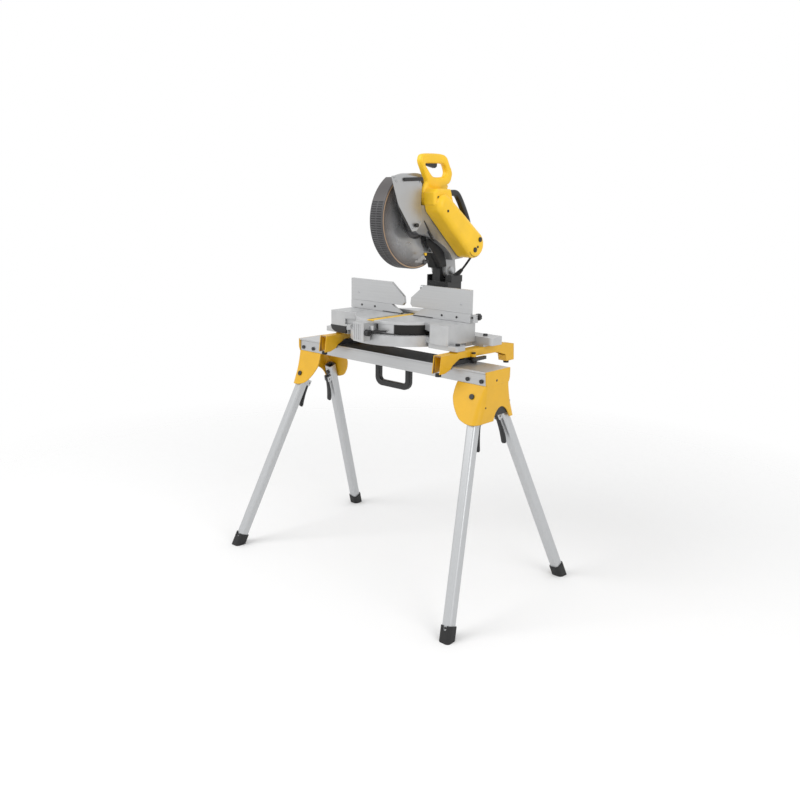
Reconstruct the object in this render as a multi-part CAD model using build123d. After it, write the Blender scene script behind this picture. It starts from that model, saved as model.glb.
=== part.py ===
from build123d import *
import os
from math import asin, atan, cos, degrees, hypot, radians, sin, sqrt

# Units are millimetres. +X runs along the beam to the operator's right, +Y to the back, +Z up.
# The origin is on the floor under the middle of the stand.

# Stand: beam, legs and leg housings
beam_length = 900.0
beam_web_y = 60.0
beam_flange_y = 66.0
beam_wall = 4.0
beam_top = 804.5
beam_height = 46.0
beam_bottom = beam_top - beam_height
foot_x, foot_y = 534.0, 327.5
splay_x, splay_y = 0.1767, 0.3878
tube_half, tube_corner, tube_wall = 17.5, 9.0, 2.0
rubber_wall, rubber_height = 4.0, 46.0
pivot_r = 5.0
running_gap = 0.06
pivot_drop = {"right": 48.0, "left": 93.0}
plate_thickness = 4.0
plate_gap = 5.0
housing_depth = 138.0
housing_length = 134.0
tube_above_pivot = 26.0
lever_pivot_along = {"right": 72.0, "left": 26.0}
lever_pivot_in, lever_length = 28.0, 100.0
lever_press_deg = 5.0
web_bolt_x = (376.0, 432.0)
web_bolt_z = 772.0
handle_mid_x, handle_width, handle_drop, handle_bar = -9.0, 170.0, 88.0, 22.0

# Saw mount: two brackets clamped on the beam
bracket_mid_x = {"right": 298.5, "left": -249.5}
bracket_width = 35.0
bracket_wall = 4.0
bracket_top = 850.0
saddle_gap = 0.3
mount_travel = 60.0
mount_bolt_y = (-20.0, 132.0)
mount_bolt_r = 4.0

# Saw base, turntable and fence
table_top = 932.0
fence_seat = table_top - 0.4
swing_y = 58.0
table_r = 187.0
base_half_x = 282.0
base_front_y, base_back_y = -56.0, 98.0
pan_top = 886.0
pan_r = 204.0
foot_top = 884.0
wing_clear_deg = 61.0
mitre_deg = 50.0
kerf_front_y, kerf_back_y = -133.0, 100.0
fence_half_x = 287.0
fence_split = 963.0
fence_top = 1044.0
fence_back_y = 70.0
fence_travel = 60.0
clamp_bore_r, clamp_bore_x, clamp_bore_y, clamp_bore_depth = 6.5, 240.0, 88.0, 45.0
mitre_knob_y, mitre_knob_z = -177.0, 895.0
detent_pivot, detent_tip = (33.0, -157.0), (68.0, -128.0)

# Bevel post and saw head
bevel_y0, bevel_y1 = 206.0, 262.0
trunnion_r = 43.0
bevel_pin_r = 10.0
bevel_deg = 33.9
chop_y, chop_z = 270.0, 1081.0
chop_pin_r = 9.0
chop_deg = 44.5
post_x0, post_x1 = -28.0, 7.5
drum_r = 42.0
fork_x0, fork_x1 = 8.0, 26.0
hub_r = 28.0
boot_x = 30.5
arbor_y, arbor_z = 62.0, 1268.0
arbor_r = 8.0
blade_r, blade_thickness = 152.5, 2.4
blade_teeth = 60
upper_r, upper_half_x = 158.0, 24.0
guard_r, guard_half_x, guard_wall = 170.0, 30.0, 3.0
guard_hub_r = 50.0
guard_top_deg, guard_low_deg = 57.0, -112.0
guard_ratio = 2.7
gear_case_x = 60.0
link_front, link_rear = (-36.0, 1402.0), (50.0, 1406.0)
motor_x0, motor_x1 = 62.0, 134.0
motor_front = (110.0, 1319.0, 37.0)
motor_tail = (286.0, 1180.0, 49.0)
arbor_pulley_r, motor_pulley_r, belt_x0, belt_x1 = 30.0, 14.0, 38.0, 50.0
belt_thickness = 3.0
grip_x0, grip_x1 = 37.0, 63.0
trigger_pivot = (78.0, 1464.0)
trigger_deg = 6.0
button_travel = 4.0
pin_travel = 8.0

# Motor lead between the motor's tail and the post
lead_d = 8.0
lead_points = [(100.0, 294.6, 1134.0), (89.0, 291.5, 1117.0), (76.0, 288.0, 1098.5), (66.0, 285.6, 1086.0),
               (57.0, 284.2, 1077.0)]
sleeve_base_r, sleeve_mouth_r, sleeve_depth = 12.0, 6.2, 42.0


def block(x, y, z):
    size = (x[1] - x[0], y[1] - y[0], z[1] - z[0])
    return Pos((x[0] + x[1]) / 2, (y[0] + y[1]) / 2, (z[0] + z[1]) / 2) * Box(*size)


def rod(start, end, r):
    axis = Vector(*end) - Vector(*start)
    return extrude(Plane(origin=start, z_dir=axis) * Circle(r), axis.length)


def rod_x(r, x0, x1, y, z):
    return rod((x0, y, z), (x1, y, z), r)


def rod_y(r, y0, y1, x, z):
    return rod((x, y0, z), (x, y1, z), r)


def rod_z(r, z0, z1, x, y):
    return rod((x, y, z0), (x, y, z1), r)


def outline(points):
    return make_face(Polyline(*points, close=True))


# A plate seen from the side, from above and from the front
def side_plate(face, x0, x1):
    return extrude(Plane((x0, 0, 0), x_dir=(0, 1, 0), z_dir=(1, 0, 0)) * face, x1 - x0)


def flat_plate(face, z0, z1):
    return extrude(Plane((0, 0, z0)) * face, z1 - z0)


def front_plate(face, y0, y1):
    return extrude(Plane((0, y1, 0), x_dir=(1, 0, 0), z_dir=(0, -1, 0)) * face, y1 - y0)


def mirror_x(shape):
    return mirror(shape, about=Plane.YZ)


# The hull of two circles, as a pulley belt or a motor body seen from the side
def two_circle_outline(a, b, grow=0.0):
    ay, az, ar = a
    by, bz, br = b
    ar, br = ar + grow, br + grow
    span = hypot(by - ay, bz - az)
    ux, uz = (by - ay) / span, (bz - az) / span
    lean = asin((ar - br) / span)
    side = []
    for s in (1, -1):
        nx = ux * sin(lean) - s * uz * cos(lean)
        nz = uz * sin(lean) + s * ux * cos(lean)
        side.append(((ay + ar * nx, az + ar * nz), (by + br * nx, bz + br * nz)))
    far_b = (by + br * ux, bz + br * uz)
    far_a = (ay - ar * ux, az - ar * uz)
    edges = [Line(side[0][0], side[0][1]), ThreePointArc(side[0][1], far_b, side[1][1]),
             Line(side[1][1], side[1][0]), ThreePointArc(side[1][0], far_a, side[0][0])]
    return make_face(edges)


# Leg frames: the pivot point, the run down the leg and the inward normal of the leg's plane
def leg_axes(side, end):
    sx = 1 if side == "right" else -1
    sy = -1 if end == "front" else 1
    z = beam_bottom - pivot_drop[side]
    pivot = Vector(sx * (foot_x - splay_x * z), sy * (foot_y - splay_y * z), z)
    run = Vector(sx * splay_x, sy * splay_y, -1).normalized()
    tilt = atan(splay_y)
    inward = Vector(0, -sy * cos(tilt), -sin(tilt))
    return pivot, run, inward


def leg_frame(side, end):
    pivot, run, inward = leg_axes(side, end)
    return Plane(origin=pivot, x_dir=inward, z_dir=run)


def leg_length(side):
    z = beam_bottom - pivot_drop[side]
    return z * sqrt(1 + splay_x ** 2 + splay_y ** 2)


def fold_deg():
    return 90 + degrees(asin(splay_x / sqrt(1 + splay_x ** 2 + splay_y ** 2)))


# The tube's section is a square with round corners, grown or shrunk by the given amount
def tube_bar(z0, z1, grow=0.0):
    width = 2 * (tube_half + grow)
    return extrude(Plane((0, 0, z0)) * RectangleRounded(width, width, tube_corner + grow), z1 - z0)


def make_leg(side, end):
    frame = leg_frame(side, end)
    length = leg_length(side)
    top, bottom = -tube_above_pivot, length - 14
    tube = tube_bar(top, bottom)
    along = lever_pivot_along[side]
    for y in (-10, 10):
        tube += block((tube_half - 1.5, lever_pivot_in + 6), (y - 2, y + 2), (along - 11, along + 11))
    tube -= tube_bar(top - 1, bottom + 1, -tube_wall)
    tube -= rod_x(pivot_r + running_gap, -30, 30, 0, 0)
    tube -= rod_y(3 + running_gap, -15, 15, lever_pivot_in, along)
    return frame * tube


def make_foot(side, end):
    frame = leg_frame(side, end)
    length = leg_length(side)
    cap = tube_bar(length - rubber_height, length + 14, rubber_wall)
    cap -= tube_bar(length - rubber_height - 1, length - 14, 0.05)
    notch = rod_x(7, -40, -tube_half + 1, 0, length - rubber_height + 9)
    notch += block((-40, -tube_half + 1), (-7, 7), (length - rubber_height - 2, length - rubber_height + 9))
    cap -= notch
    floor_cut = block((-700, 700), (-500, 500), (-80, 0))
    return frame * cap - floor_cut


def make_leg_lever(side, end):
    frame = leg_frame(side, end)
    x, z = lever_pivot_in, lever_pivot_along[side]
    mid, tip = z + lever_length / 2, z + lever_length
    face = outline([(x - 5, z - 8), (x + 4, z - 9), (x + 7, z + 2), (x + 8, mid), (x + 16, tip - 8),
                    (x + 13, tip), (x + 5, tip - 6), (x - 2, mid), (x - 5, z + 8)])
    lever = extrude(Plane((0, -7, 0), x_dir=(1, 0, 0), z_dir=(0, 1, 0)) * mirror(face, about=Plane.XZ), 14)
    lever += rod_y(3, -12, 12, x, z)
    return frame * lever


# Leg housings: two tilted plates outside the legs, joined by an end cover
def tilted_plane(end):
    _, _, inward = leg_axes("right", end)
    offset = tube_half + plate_gap + plate_thickness
    sy = -1 if end == "front" else 1
    start = Vector(0, sy * (foot_y - splay_y * beam_bottom), beam_bottom) - inward * offset
    return start, inward


def make_plate(end):
    start, inward = tilted_plane(end)
    down = Vector(0, inward.Z, -inward.Y) if end == "front" else Vector(0, -inward.Z, inward.Y)
    down = down if down.Z < 0 else down * -1
    plane = Plane(origin=start, x_dir=(1, 0, 0), z_dir=inward)
    flip = 1 if plane.y_dir.dot(down) > 0 else -1
    outer = beam_length / 2
    inner = outer - housing_length
    lobe = [Line((outer, 0), (inner + 8, 0)),
            ThreePointArc((inner + 8, 0), (inner, 50), (inner + 20, 102)),
            ThreePointArc((inner + 20, 102), (inner + 44, 127), (inner + 80, housing_depth)),
            Line((inner + 80, housing_depth), (outer, housing_depth - 14)),
            Line((outer, housing_depth - 14), (outer, 0))]
    face = make_face([edge if flip > 0 else mirror(edge, about=Plane.XZ) for edge in lobe])
    above = block((0, outer + 20), (-150, 150), (beam_bottom, beam_top + 20))
    return extrude(plane * face, plate_thickness) - above


def make_housing(side):
    outer = beam_length / 2
    body = None
    for end, sy in (("front", -1), ("back", 1)):
        plate = make_plate(end)
        pivot, _, inward = leg_axes(side, end)
        if side == "left":
            pivot = Vector(-pivot.X, pivot.Y, pivot.Z)
        plate -= rod(pivot - inward * 40, pivot, pivot_r)
        web_in = beam_web_y - beam_wall
        y = sorted((sy * web_in, sy * (web_in - plate_thickness)))
        flange = block((outer - housing_length + 20, outer), y, (beam_bottom - 6, beam_top - 9))
        for x in web_bolt_x:
            flange -= rod_y(4, y[0] - 1, y[1] + 1, x, web_bolt_z)
        ledge = block((outer - housing_length + 20, outer), sorted((sy * 50, sy * 62)),
                      (beam_bottom - 7, beam_bottom - 0.3))
        body = plate + flange + ledge if body is None else body + plate + flange + ledge
    low = beam_bottom - housing_depth * cos(atan(splay_y)) + 6
    wide = beam_web_y + 42
    cover = side_plate(outline([(-beam_flange_y, beam_top), (beam_flange_y, beam_top),
                                (beam_flange_y, beam_bottom), (wide, low), (-wide, low),
                                (-beam_flange_y, beam_bottom)]), outer, outer + plate_thickness)
    arch_y = 52.0
    cover -= rod_x(27, outer - 1, outer + 5, arch_y, low + 14)
    cover -= block((outer - 1, outer + 5), (arch_y - 27, arch_y + 27), (low - 5, low + 14))
    body += cover
    return body if side == "right" else mirror_x(body)


def make_pivot_bolts():
    bolts = []
    for side in ("right", "left"):
        for end in ("front", "back"):
            frame = leg_frame(side, end)
            outside = -(tube_half + plate_gap + plate_thickness)
            bolt = rod_x(pivot_r, outside - 1, tube_half + 3, 0, 0)
            bolt += rod_x(9, outside - 4.5, outside, 0, 0)
            bolt += rod_x(8, tube_half + 1.5, tube_half + 7, 0, 0)
            bolts.append(frame * bolt)
    return bolts


def make_web_bolts():
    bolts = []
    for x in (-web_bolt_x[1], -web_bolt_x[0], web_bolt_x[0], web_bolt_x[1]):
        for sy in (-1, 1):
            face = sy * beam_web_y
            bolt = rod_y(3.95, *sorted((face, sy * (beam_web_y - 14))), x, web_bolt_z)
            bolt += rod_y(7, *sorted((face, face + sy * 4.5)), x, web_bolt_z)
            bolts.append(bolt)
    return bolts


def make_beam():
    web, wall = beam_web_y, beam_wall
    half = [(beam_flange_y, beam_top), (beam_flange_y, beam_top - 5), (web, beam_top - 8), (web, beam_bottom),
            (web - wall, beam_bottom), (web - wall, beam_top - 5.5)]
    points = half + [(-y, z) for y, z in reversed(half)]
    beam = side_plate(outline(points), -beam_length / 2, beam_length / 2)
    for x in (-web_bolt_x[1], -web_bolt_x[0], web_bolt_x[0], web_bolt_x[1]):
        beam -= rod_y(4, -web - 1, web + 1, x, web_bolt_z)
    return beam


def make_beam_handle():
    top, low = beam_bottom + 2, beam_bottom - handle_drop
    mid_z = (top + low) / 2
    outer = Rectangle(handle_width, top - low)
    outer = fillet(outer.vertices().group_by(Axis.Y)[0], 32)
    inner = Pos(0, handle_bar / 2 + 1) * Rectangle(handle_width - 2 * handle_bar, top - low - handle_bar + 2)
    inner = fillet(inner.vertices().group_by(Axis.Y)[0], 14)
    loop = front_plate(Pos(handle_mid_x, mid_z) * (outer - inner), -11, 11)
    loop = fillet(loop.edges().filter_by(Axis.Z), 6)
    inside = beam_web_y - beam_wall
    for sx in (-1, 1):
        x = handle_mid_x + sx * (handle_width - handle_bar) / 2
        loop += block((x - 14, x + 14), (-inside, inside), (top - 1, top + 3))
    return loop


# Saw brackets: a channel with a hooked end at the front and the back
def make_bracket(side):
    x = bracket_mid_x[side]
    half = bracket_width / 2
    top = bracket_top
    profile = outline([(-131, 786), (-123, top - 5), (-44, top - 5), (-38, top), (206, top), (218, top + 1),
                       (281, top - 9), (285, 782), (240, 782), (234, 806), (182, 822), (-30, 826),
                       (-66, 808), (-78, 795), (-106, 786)])
    hollow = outline([(-140, 792), (-134, top - 9), (-42, top - 9), (-34, top - 4), (204, top - 4),
                      (270, top - 12), (276, 770), (247, 770), (241, 802), (184, 817), (-28, 820), (-60, 802),
                      (-74, 790), (-108, 780), (-140, 780)])
    body = side_plate(profile, x - half, x + half)
    body -= side_plate(hollow, x - half + bracket_wall, x + half - bracket_wall)
    for y in mount_bolt_y:
        body -= rod_z(mount_bolt_r + 0.2, top - 8, top + 2, x, y)
    return body


def make_saddles():
    saddles = []
    for x in bracket_mid_x.values():
        half = bracket_width / 2 - bracket_wall
        saddle = block((x - half, x + half), (-56, 56), (beam_top + saddle_gap, 820))
        saddle += block((x - half, x + half), (0, 44), (819, bracket_top - 4))
        for sy in (-1, 1):
            edge = sy * (beam_flange_y + saddle_gap)
            jaw_y = sorted((edge, edge + sy * 5))
            saddle += block((x - half, x + half), jaw_y, (beam_top - 10, beam_top + 9))
            lip_y = sorted((sy * 54, edge + sy * 5))
            saddle += block((x - half, x + half), lip_y, (beam_top + saddle_gap, beam_top + 9))
        saddles.append(saddle)
    return Compound(children=saddles)


def make_bumpers():
    pads = []
    for x in bracket_mid_x.values():
        for y, z in ((-118, 786), (262, 782)):
            pads.append(rod_z(10, z - 10, z, x, y))
    return Compound(children=pads)


def clamp_pivot(side):
    sx = 1 if side == "right" else -1
    return bracket_mid_x[side] + sx * (bracket_width / 2 + 9), 34.0


# The clamp's stud stands in a lug on the bracket's outer wall
def make_clamp_lug(side):
    x, y = clamp_pivot(side)
    sx = 1 if side == "right" else -1
    wall = bracket_mid_x[side] + sx * (bracket_width / 2 - 1)
    lug = block(sorted((wall, x)), (y - 9, y + 9), (826, 836)) + rod_z(9, 826, 836, x, y)
    return lug - rod_z(4 + running_gap, 820, 840, x, y)


def make_clamp_lever(side):
    x, y = clamp_pivot(side)
    arm = flat_plate(two_circle_outline((x, y, 9.0), (x, y + 62, 6.5)), 811, 821)
    arm += rod_z(4, 815, 838, x, y)
    arm += rod_z(7, 836.5, 841, x, y)
    return arm


def make_mount_bolts():
    bolts = []
    for x in bracket_mid_x.values():
        for y in mount_bolt_y:
            seat = foot_top if y > 50 else 866.5
            bolt = rod_z(mount_bolt_r, bracket_top - 14, seat + 1, x, y)
            bolt += rod_z(8, seat, seat + 6, x, y)
            bolt += rod_z(7, bracket_top - 10, bracket_top - 4, x, y)
            bolts.append(bolt)
    return Compound(children=bolts)


# Saw base: two wings, a round pan for the turntable and four feet
def swing_wedge(z0, z1):
    reach = 330.0
    a = radians(wing_clear_deg)
    points = [(0, swing_y), (reach * sin(a), swing_y - reach * cos(a)), (reach * sin(a), swing_y - reach),
              (-reach * sin(a), swing_y - reach), (-reach * sin(a), swing_y - reach * cos(a))]
    return flat_plate(outline(points), z0, z1)


# Rounds the two upright edges at a foot's outer end
def round_end(foot, sx, r):
    edges = foot.edges().filter_by(Axis.Z).sort_by(Axis.X)
    return fillet(edges[-2:] if sx > 0 else edges[:2], r)


def make_saw_base():
    front, back = base_front_y, base_back_y
    wings = block((-base_half_x, base_half_x), (front, back), (866, table_top))
    wings = fillet(wings.edges().filter_by(Axis.Z), 6)
    wings -= rod_z(table_r + 2, pan_top, table_top + 1, 0, swing_y)
    wings -= rod_z(table_r + 46, pan_top + 0.5, 907, 0, swing_y)
    wings -= swing_wedge(860, table_top + 1)
    for sx in (-1, 1):
        pocket = block(sorted((sx * 215, sx * 274)), (front + 10, back - 34), (860, table_top - 8))
        wings -= pocket
        bore_x = sx * clamp_bore_x
        wings -= rod_z(clamp_bore_r, fence_seat - clamp_bore_depth, table_top, bore_x, clamp_bore_y)
    seat_x = base_half_x + 1
    wings -= block((-seat_x, seat_x), (swing_y - 0.6, back + 1), (fence_seat, table_top + 1))
    pan = rod_z(pan_r, 850, pan_top, 0, swing_y)
    pan -= rod_z(164, 857, pan_top + 1, 0, swing_y)
    pan += rod_z(30, 855, pan_top, 0, swing_y)
    body = wings + pan
    for sx in (-1, 1):
        rear = block(sorted((sx * 190, sx * 352)), (98, 165), (857, foot_top))
        fore = block(sorted((sx * 196, sx * 318)), (front + 6, 4), (850, 866.5))
        body += round_end(rear, sx, 14) + round_end(fore, sx, 12)
        body += block(sorted((sx * 190, sx * 316)), (99, 164), (850, 858))
        body += block(sorted((sx * 190, sx * 270)), (60, 100), (850, foot_top))
    for x in bracket_mid_x.values():
        for y in mount_bolt_y:
            body -= rod_z(mount_bolt_r + 0.2, 845, foot_top + 10 if y > 50 else 867, x, y)
    body += rod_z(8, 856, table_top - 20, 0, swing_y)
    return body


def make_detent_plate():
    plate = rod_z(pan_r + 1, pan_top, pan_top + 2.5, 0, swing_y)
    plate -= rod_z(168, pan_top - 1, pan_top + 4, 0, swing_y)
    plate &= swing_wedge(pan_top - 2, pan_top + 5)
    for deg in (0, 15, 22.5, 31.6, 45):
        for s in ((1,) if deg == 0 else (1, -1)):
            a = radians(s * deg)
            plate -= rod_z(4, pan_top - 1, pan_top + 4, (pan_r + 1) * sin(a), swing_y - (pan_r + 1) * cos(a))
    return plate


def make_fixed_fence():
    low = table_top + 0.6
    face = outline([(27, low), (fence_half_x, low), (fence_half_x, fence_split), (76, fence_split),
                    (31, low + 4)])
    right = front_plate(face, swing_y, fence_back_y)
    right += block((195, 285), (fence_back_y - 1, 80), (fence_seat, 941))
    right += block((200, 232), (79, base_back_y), (fence_seat, 941))
    right += block((284, 296), (fence_back_y - 4, 90), (low, fence_split - 3))
    right -= rod_y(4 + running_gap, 60, 95, 290, 950)
    right += block((96, 112), (fence_back_y - 1, 106), (low + 0.5, 944))
    body = right + mirror_x(right)
    body += block((-112, 112), (94, 106), (low + 0.5, 944))
    return body


def make_sliding_fence(side):
    low = fence_split + 0.5
    face = outline([(15, fence_split + 10), (18, fence_split + 33), (80, fence_top), (fence_half_x, fence_top),
                    (fence_half_x, low), (24, low)])
    plate = front_plate(face, swing_y, fence_back_y)
    plate += block((112, 221), (fence_back_y + 0.4, fence_back_y + 6), (944.6, 1000))
    plate += block((112, 221), (fence_back_y - 1, fence_back_y + 6), (fence_split + 4, 1000))
    return plate if side == "right" else mirror_x(plate)


def make_fence_knob(side):
    knob = rod_y(12, 91, 105, 290, 950) + rod_y(4, 72, 92, 290, 950)
    for k in range(8):
        a = radians(45 * k)
        knob -= rod_y(2.2, 90, 106, 290 + 13 * cos(a), 950 + 13 * sin(a))
    return knob if side == "right" else mirror_x(knob)


# Turntable: round table with the mitre arm at the front and the bevel boss at the back
def make_turntable():
    top = rod_z(table_r, table_top - 10, table_top, 0, swing_y)
    top += rod_z(150, pan_top + 4, table_top - 9, 0, swing_y)
    top += block((-20, 20), (-152, swing_y), (pan_top + 6, table_top - 6))
    top += block((-34, 34), (swing_y, bevel_y0 + 10), (pan_top + 6, table_top - 4))
    top += rod_y(trunnion_r, bevel_y0, bevel_y0 + 20, 0, table_top)
    grip = block((-24, 24), (-196, -150), (865, table_top - 3))
    grip = fillet(grip.edges().filter_by(Axis.Z), 10)
    top += grip
    top -= block((-14, 14), (kerf_front_y, kerf_back_y), (table_top - 2.5, table_top + 1))
    top -= block((-24, 9), (kerf_front_y + 12, kerf_back_y - 6), (pan_top, table_top))
    pocket = rod_z(142, pan_top, table_top - 12, 0, swing_y)
    pocket -= block((-40, 40), (-200, 300), (pan_top, table_top))
    top -= pocket - block((-200, 200), (swing_y - 5, swing_y + 5), (pan_top, table_top))
    top -= rod_z(8 + running_gap, pan_top, table_top - 14, 0, swing_y)
    top -= block((-60, 60), (kerf_back_y + 4, bevel_y1 + 40), (table_top + 0.5, table_top + trunnion_r + 9))
    top -= block((-50, 50), (bevel_y0 + 20, bevel_y1 + 40), (pan_top, table_top + 1))
    top += rod_y(trunnion_r, bevel_y0, bevel_y0 + 20, 0, table_top)
    top -= rod_y(bevel_pin_r, bevel_y0 - 1, bevel_y0 + 21, 0, table_top)
    top -= rod_x(5 + running_gap, 6, 30, mitre_knob_y, mitre_knob_z)
    top += make_table_skirt() + make_detent_boss()
    top -= rod_z(4 + running_gap, 880, 907, *detent_pivot)
    return top


def make_table_skirt():
    skirt = rod_z(table_r - 1, pan_top + 5, table_top - 9, 0, swing_y)
    skirt -= rod_z(table_r - 9, pan_top, table_top, 0, swing_y)
    skirt -= block((-32, 32), (-160, swing_y), (pan_top, table_top))
    skirt -= block((-220, 220), (swing_y + 60, 300), (pan_top, table_top))
    for sx in (-1, 1):
        web_x = sorted((sx * 148, sx * 180))
        skirt += block(web_x, (swing_y - 8, swing_y + 8), (pan_top + 10, table_top - 9))
    return skirt


def make_kerf_plates():
    strips = [block(x, (kerf_front_y + 0.2, kerf_back_y - 0.2), (table_top - 2.5, table_top))
              for x in ((-13.8, -2.6), (2.6, 13.8))]
    return Compound(children=strips)


def make_mitre_knob():
    y, z = mitre_knob_y, mitre_knob_z
    knob = rod_x(11, 25, 40, y, z) + rod_x(5, 8, 26, y, z)
    for k in range(6):
        a = radians(60 * k)
        knob -= rod_x(3, 24, 41, y + 12.5 * cos(a), z + 12.5 * sin(a))
    return knob


def make_detent_lever():
    lever = flat_plate(two_circle_outline((*detent_pivot, 7.0), (*detent_tip, 4.5)), 896, 902.5)
    return lever + rod_z(4, 890, 906, *detent_pivot)


def make_detent_boss():
    x, y = detent_pivot
    return rod_z(7, 903, 918, x, y) + block((20, x), (y - 7, y + 7), (903, 918))


# Bevel post: swings on the bevel pin behind the table and carries the chop pin
def make_post():
    disc = rod_y(trunnion_r, bevel_y0 + 20.5, bevel_y1, 0, table_top)
    disc += block((-40, 40), (bevel_y0 + 21, bevel_y1 + 20), (table_top, 985))
    shoulder = block((-52, 52), (222, 302), (976, 1042))
    shoulder += block((-52, -45), (222, 300), (1040, 1064))
    shoulder += block((fork_x1 + 1, 56), (238, 302), (1040, 1064))
    shoulder = fillet(shoulder.edges().filter_by(Axis.Z).group_by(SortBy.LENGTH)[-1], 6)
    tower = block((post_x0, post_x1), (chop_y - drum_r, chop_y + 34), (976, chop_z))
    tower += rod_x(drum_r, post_x0, post_x1, chop_y, chop_z)
    post = disc + shoulder + tower + make_lead_sleeve()
    post -= rod_y(bevel_pin_r + running_gap, bevel_y0 + 10, bevel_y1 + 30, 0, table_top)
    post -= rod_x(chop_pin_r, -60, 40, chop_y, chop_z)
    post -= rod_x(23, -20, 2, chop_y, chop_z)
    post -= rod_x(5 + running_gap, -60, -30, 240, 1010)
    return post


def make_bevel_pin():
    return rod_y(bevel_pin_r, bevel_y0, bevel_y1 + 24, 0, table_top)


def make_bevel_lever():
    z = table_top
    hub = rod_y(17, bevel_y1 + 24.5, bevel_y1 + 42, 0, z)
    face = outline([(-8, z), (-5, z - 58), (0, z - 62), (5, z - 58), (8, z)])
    return hub + front_plate(face, bevel_y1 + 28, bevel_y1 + 40)


def make_chop_pin():
    pin = rod_x(chop_pin_r, -50, fork_x1 + 4, chop_y, chop_z)
    pin += rod_x(14, fork_x1 + 0.5, fork_x1 + 4, chop_y, chop_z)
    return pin + rod_x(14, -50, -45, chop_y, chop_z)


def make_return_spring():
    return rod_x(22, -19, 1, chop_y, chop_z) - rod_x(chop_pin_r + 0.5, -20, 2, chop_y, chop_z)


def make_lock_pin():
    return rod_x(5, -78, -44, 240, 1010) + rod_x(10, -90, -76, 240, 1010)


# A tapered sleeve on the post takes the lead's lower end
def make_lead_sleeve():
    mouth, end = Vector(*lead_points[-2]), Vector(*lead_points[-1])
    run = (end - mouth).normalized()
    top = Plane(origin=mouth, z_dir=run)
    deep = Plane(origin=mouth + run * sleeve_depth, z_dir=run)
    sleeve = loft([top * Circle(sleeve_mouth_r), deep * Circle(sleeve_base_r)])
    return sleeve - rod(tuple(mouth - run * 2), tuple(end + run * 0.5), lead_d / 2 + 0.4)


# Saw head: upper guard, belt case and the two forks that swing on the chop pin
def make_head_casting():
    y, z = arbor_y, arbor_z
    hood = rod_x(upper_r, -upper_half_x, upper_half_x, y, z)
    hood -= rod_x(upper_r - 3, -upper_half_x + 3, upper_half_x - 3, y, z)
    keep = outline([(-110, 1390), (20, 1290), (96, 1262), (150, 1168), (190, 1120), (330, 1200), (330, 1500),
                    (-110, 1500)])
    hood &= side_plate(keep, -60, 60)
    hood -= rod_x(42, -upper_half_x - 1, 0, y, z)
    boss = rod_x(guard_hub_r, upper_half_x - 3, gear_case_x, y, z)
    neck = side_plate(outline([(164, 1198), (192, 1180), (214, 1160), (230, 1138), (240, 1123), (300, 1128),
                               (255, 1212), (200, 1206)]), -42, gear_case_x - 2)
    right = side_plate(outline([(192, 1172), (232, 1140), (268, 1138), (318, 1146), (214, 1236), (110, 1312),
                                (62, 1318), (98, 1236), (138, 1200)]), 31.5, gear_case_x - 2)
    arm = side_plate(outline([(chop_y - hub_r, chop_z), (239, 1123), (211, 1160), (167, 1193), (200, 1222),
                              (248, 1190), (289, 1140), (chop_y + hub_r, chop_z)]), fork_x0, fork_x1)
    right += arm + rod_x(hub_r, fork_x0, fork_x1, chop_y, chop_z)
    left = side_plate(outline([(chop_y - hub_r, chop_z), (chop_y + hub_r, chop_z), (294, 1132), (214, 1132)]),
                      -44, -31.5)
    left += rod_x(hub_r, -44, -31.5, chop_y, chop_z)
    body = hood + neck + right + left - rod_x(upper_r - 3, -upper_half_x + 3, upper_half_x - 3, y, z) + boss
    belt_case = side_plate(two_circle_outline((y, z, 38.0), (motor_tail[0], motor_tail[1], 22.0)), 35.5, 53)
    body += side_plate(two_circle_outline((y, z, 42.0), (motor_tail[0], motor_tail[1], 26.0)), 33, 56)
    body -= belt_case
    body -= rod_x(drum_r + 0.5, post_x0 - 1, post_x1 + 0.25, chop_y, chop_z)
    body -= rod_x(chop_pin_r + running_gap, -80, 80, chop_y, chop_z)
    body -= rod_x(arbor_r + 3, -40, 58, y, z)
    body -= rod_x(14.05, upper_half_x - 4, 34, y, z)
    body -= rod_x(9, 30, 62, motor_tail[0], motor_tail[1])
    body -= rod_x(5 + running_gap, 52, 80, *lock_button())
    return body


def lock_button():
    return arbor_y - 40 * cos(radians(25)), arbor_z - 40 * sin(radians(25))


# A ring plate between two angles about the arbor, counted from the front upwards
def arbor_sector(r_in, r_out, x0, x1, low_deg, high_deg):
    ring = rod_x(r_out, x0, x1, arbor_y, arbor_z) - rod_x(r_in, x0 - 1, x1 + 1, arbor_y, arbor_z)
    steps = 8
    reach = r_out * 1.3
    points = [(arbor_y, arbor_z)]
    for k in range(steps + 1):
        a = radians(low_deg + (high_deg - low_deg) * k / steps)
        points.append((arbor_y - reach * cos(a), arbor_z + reach * sin(a)))
    return ring & side_plate(outline(points), x0 - 2, x1 + 2)


def make_lower_guard():
    half, wall = guard_half_x, guard_wall
    rim = arbor_sector(guard_r - 4, guard_r, -half, half, guard_low_deg, guard_top_deg)
    for x0 in (-half, half - wall):
        rim += arbor_sector(58, guard_r - 2, x0, x0 + wall, guard_low_deg, guard_top_deg)
    hub = rod_x(66, half - wall, half, arbor_y, arbor_z)
    rim += hub
    return rim - rod_x(guard_hub_r + running_gap, half - wall - 1, half + 1, arbor_y, arbor_z)


def make_guard_plate():
    face = outline([(-98, 1412), (-36, 1420), (32, 1412), (56, 1390), (52, 1326), (62, 1262), (32, 1232),
                    (9, 1230), (-62, 1318)])
    plate = side_plate(face, gear_case_x, gear_case_x + 1.8)
    plate -= rod_x(3, gear_case_x - 1, gear_case_x + 3, *link_front)
    return plate - rod_x(8, gear_case_x - 1, gear_case_x + 3, *lock_button())


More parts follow.
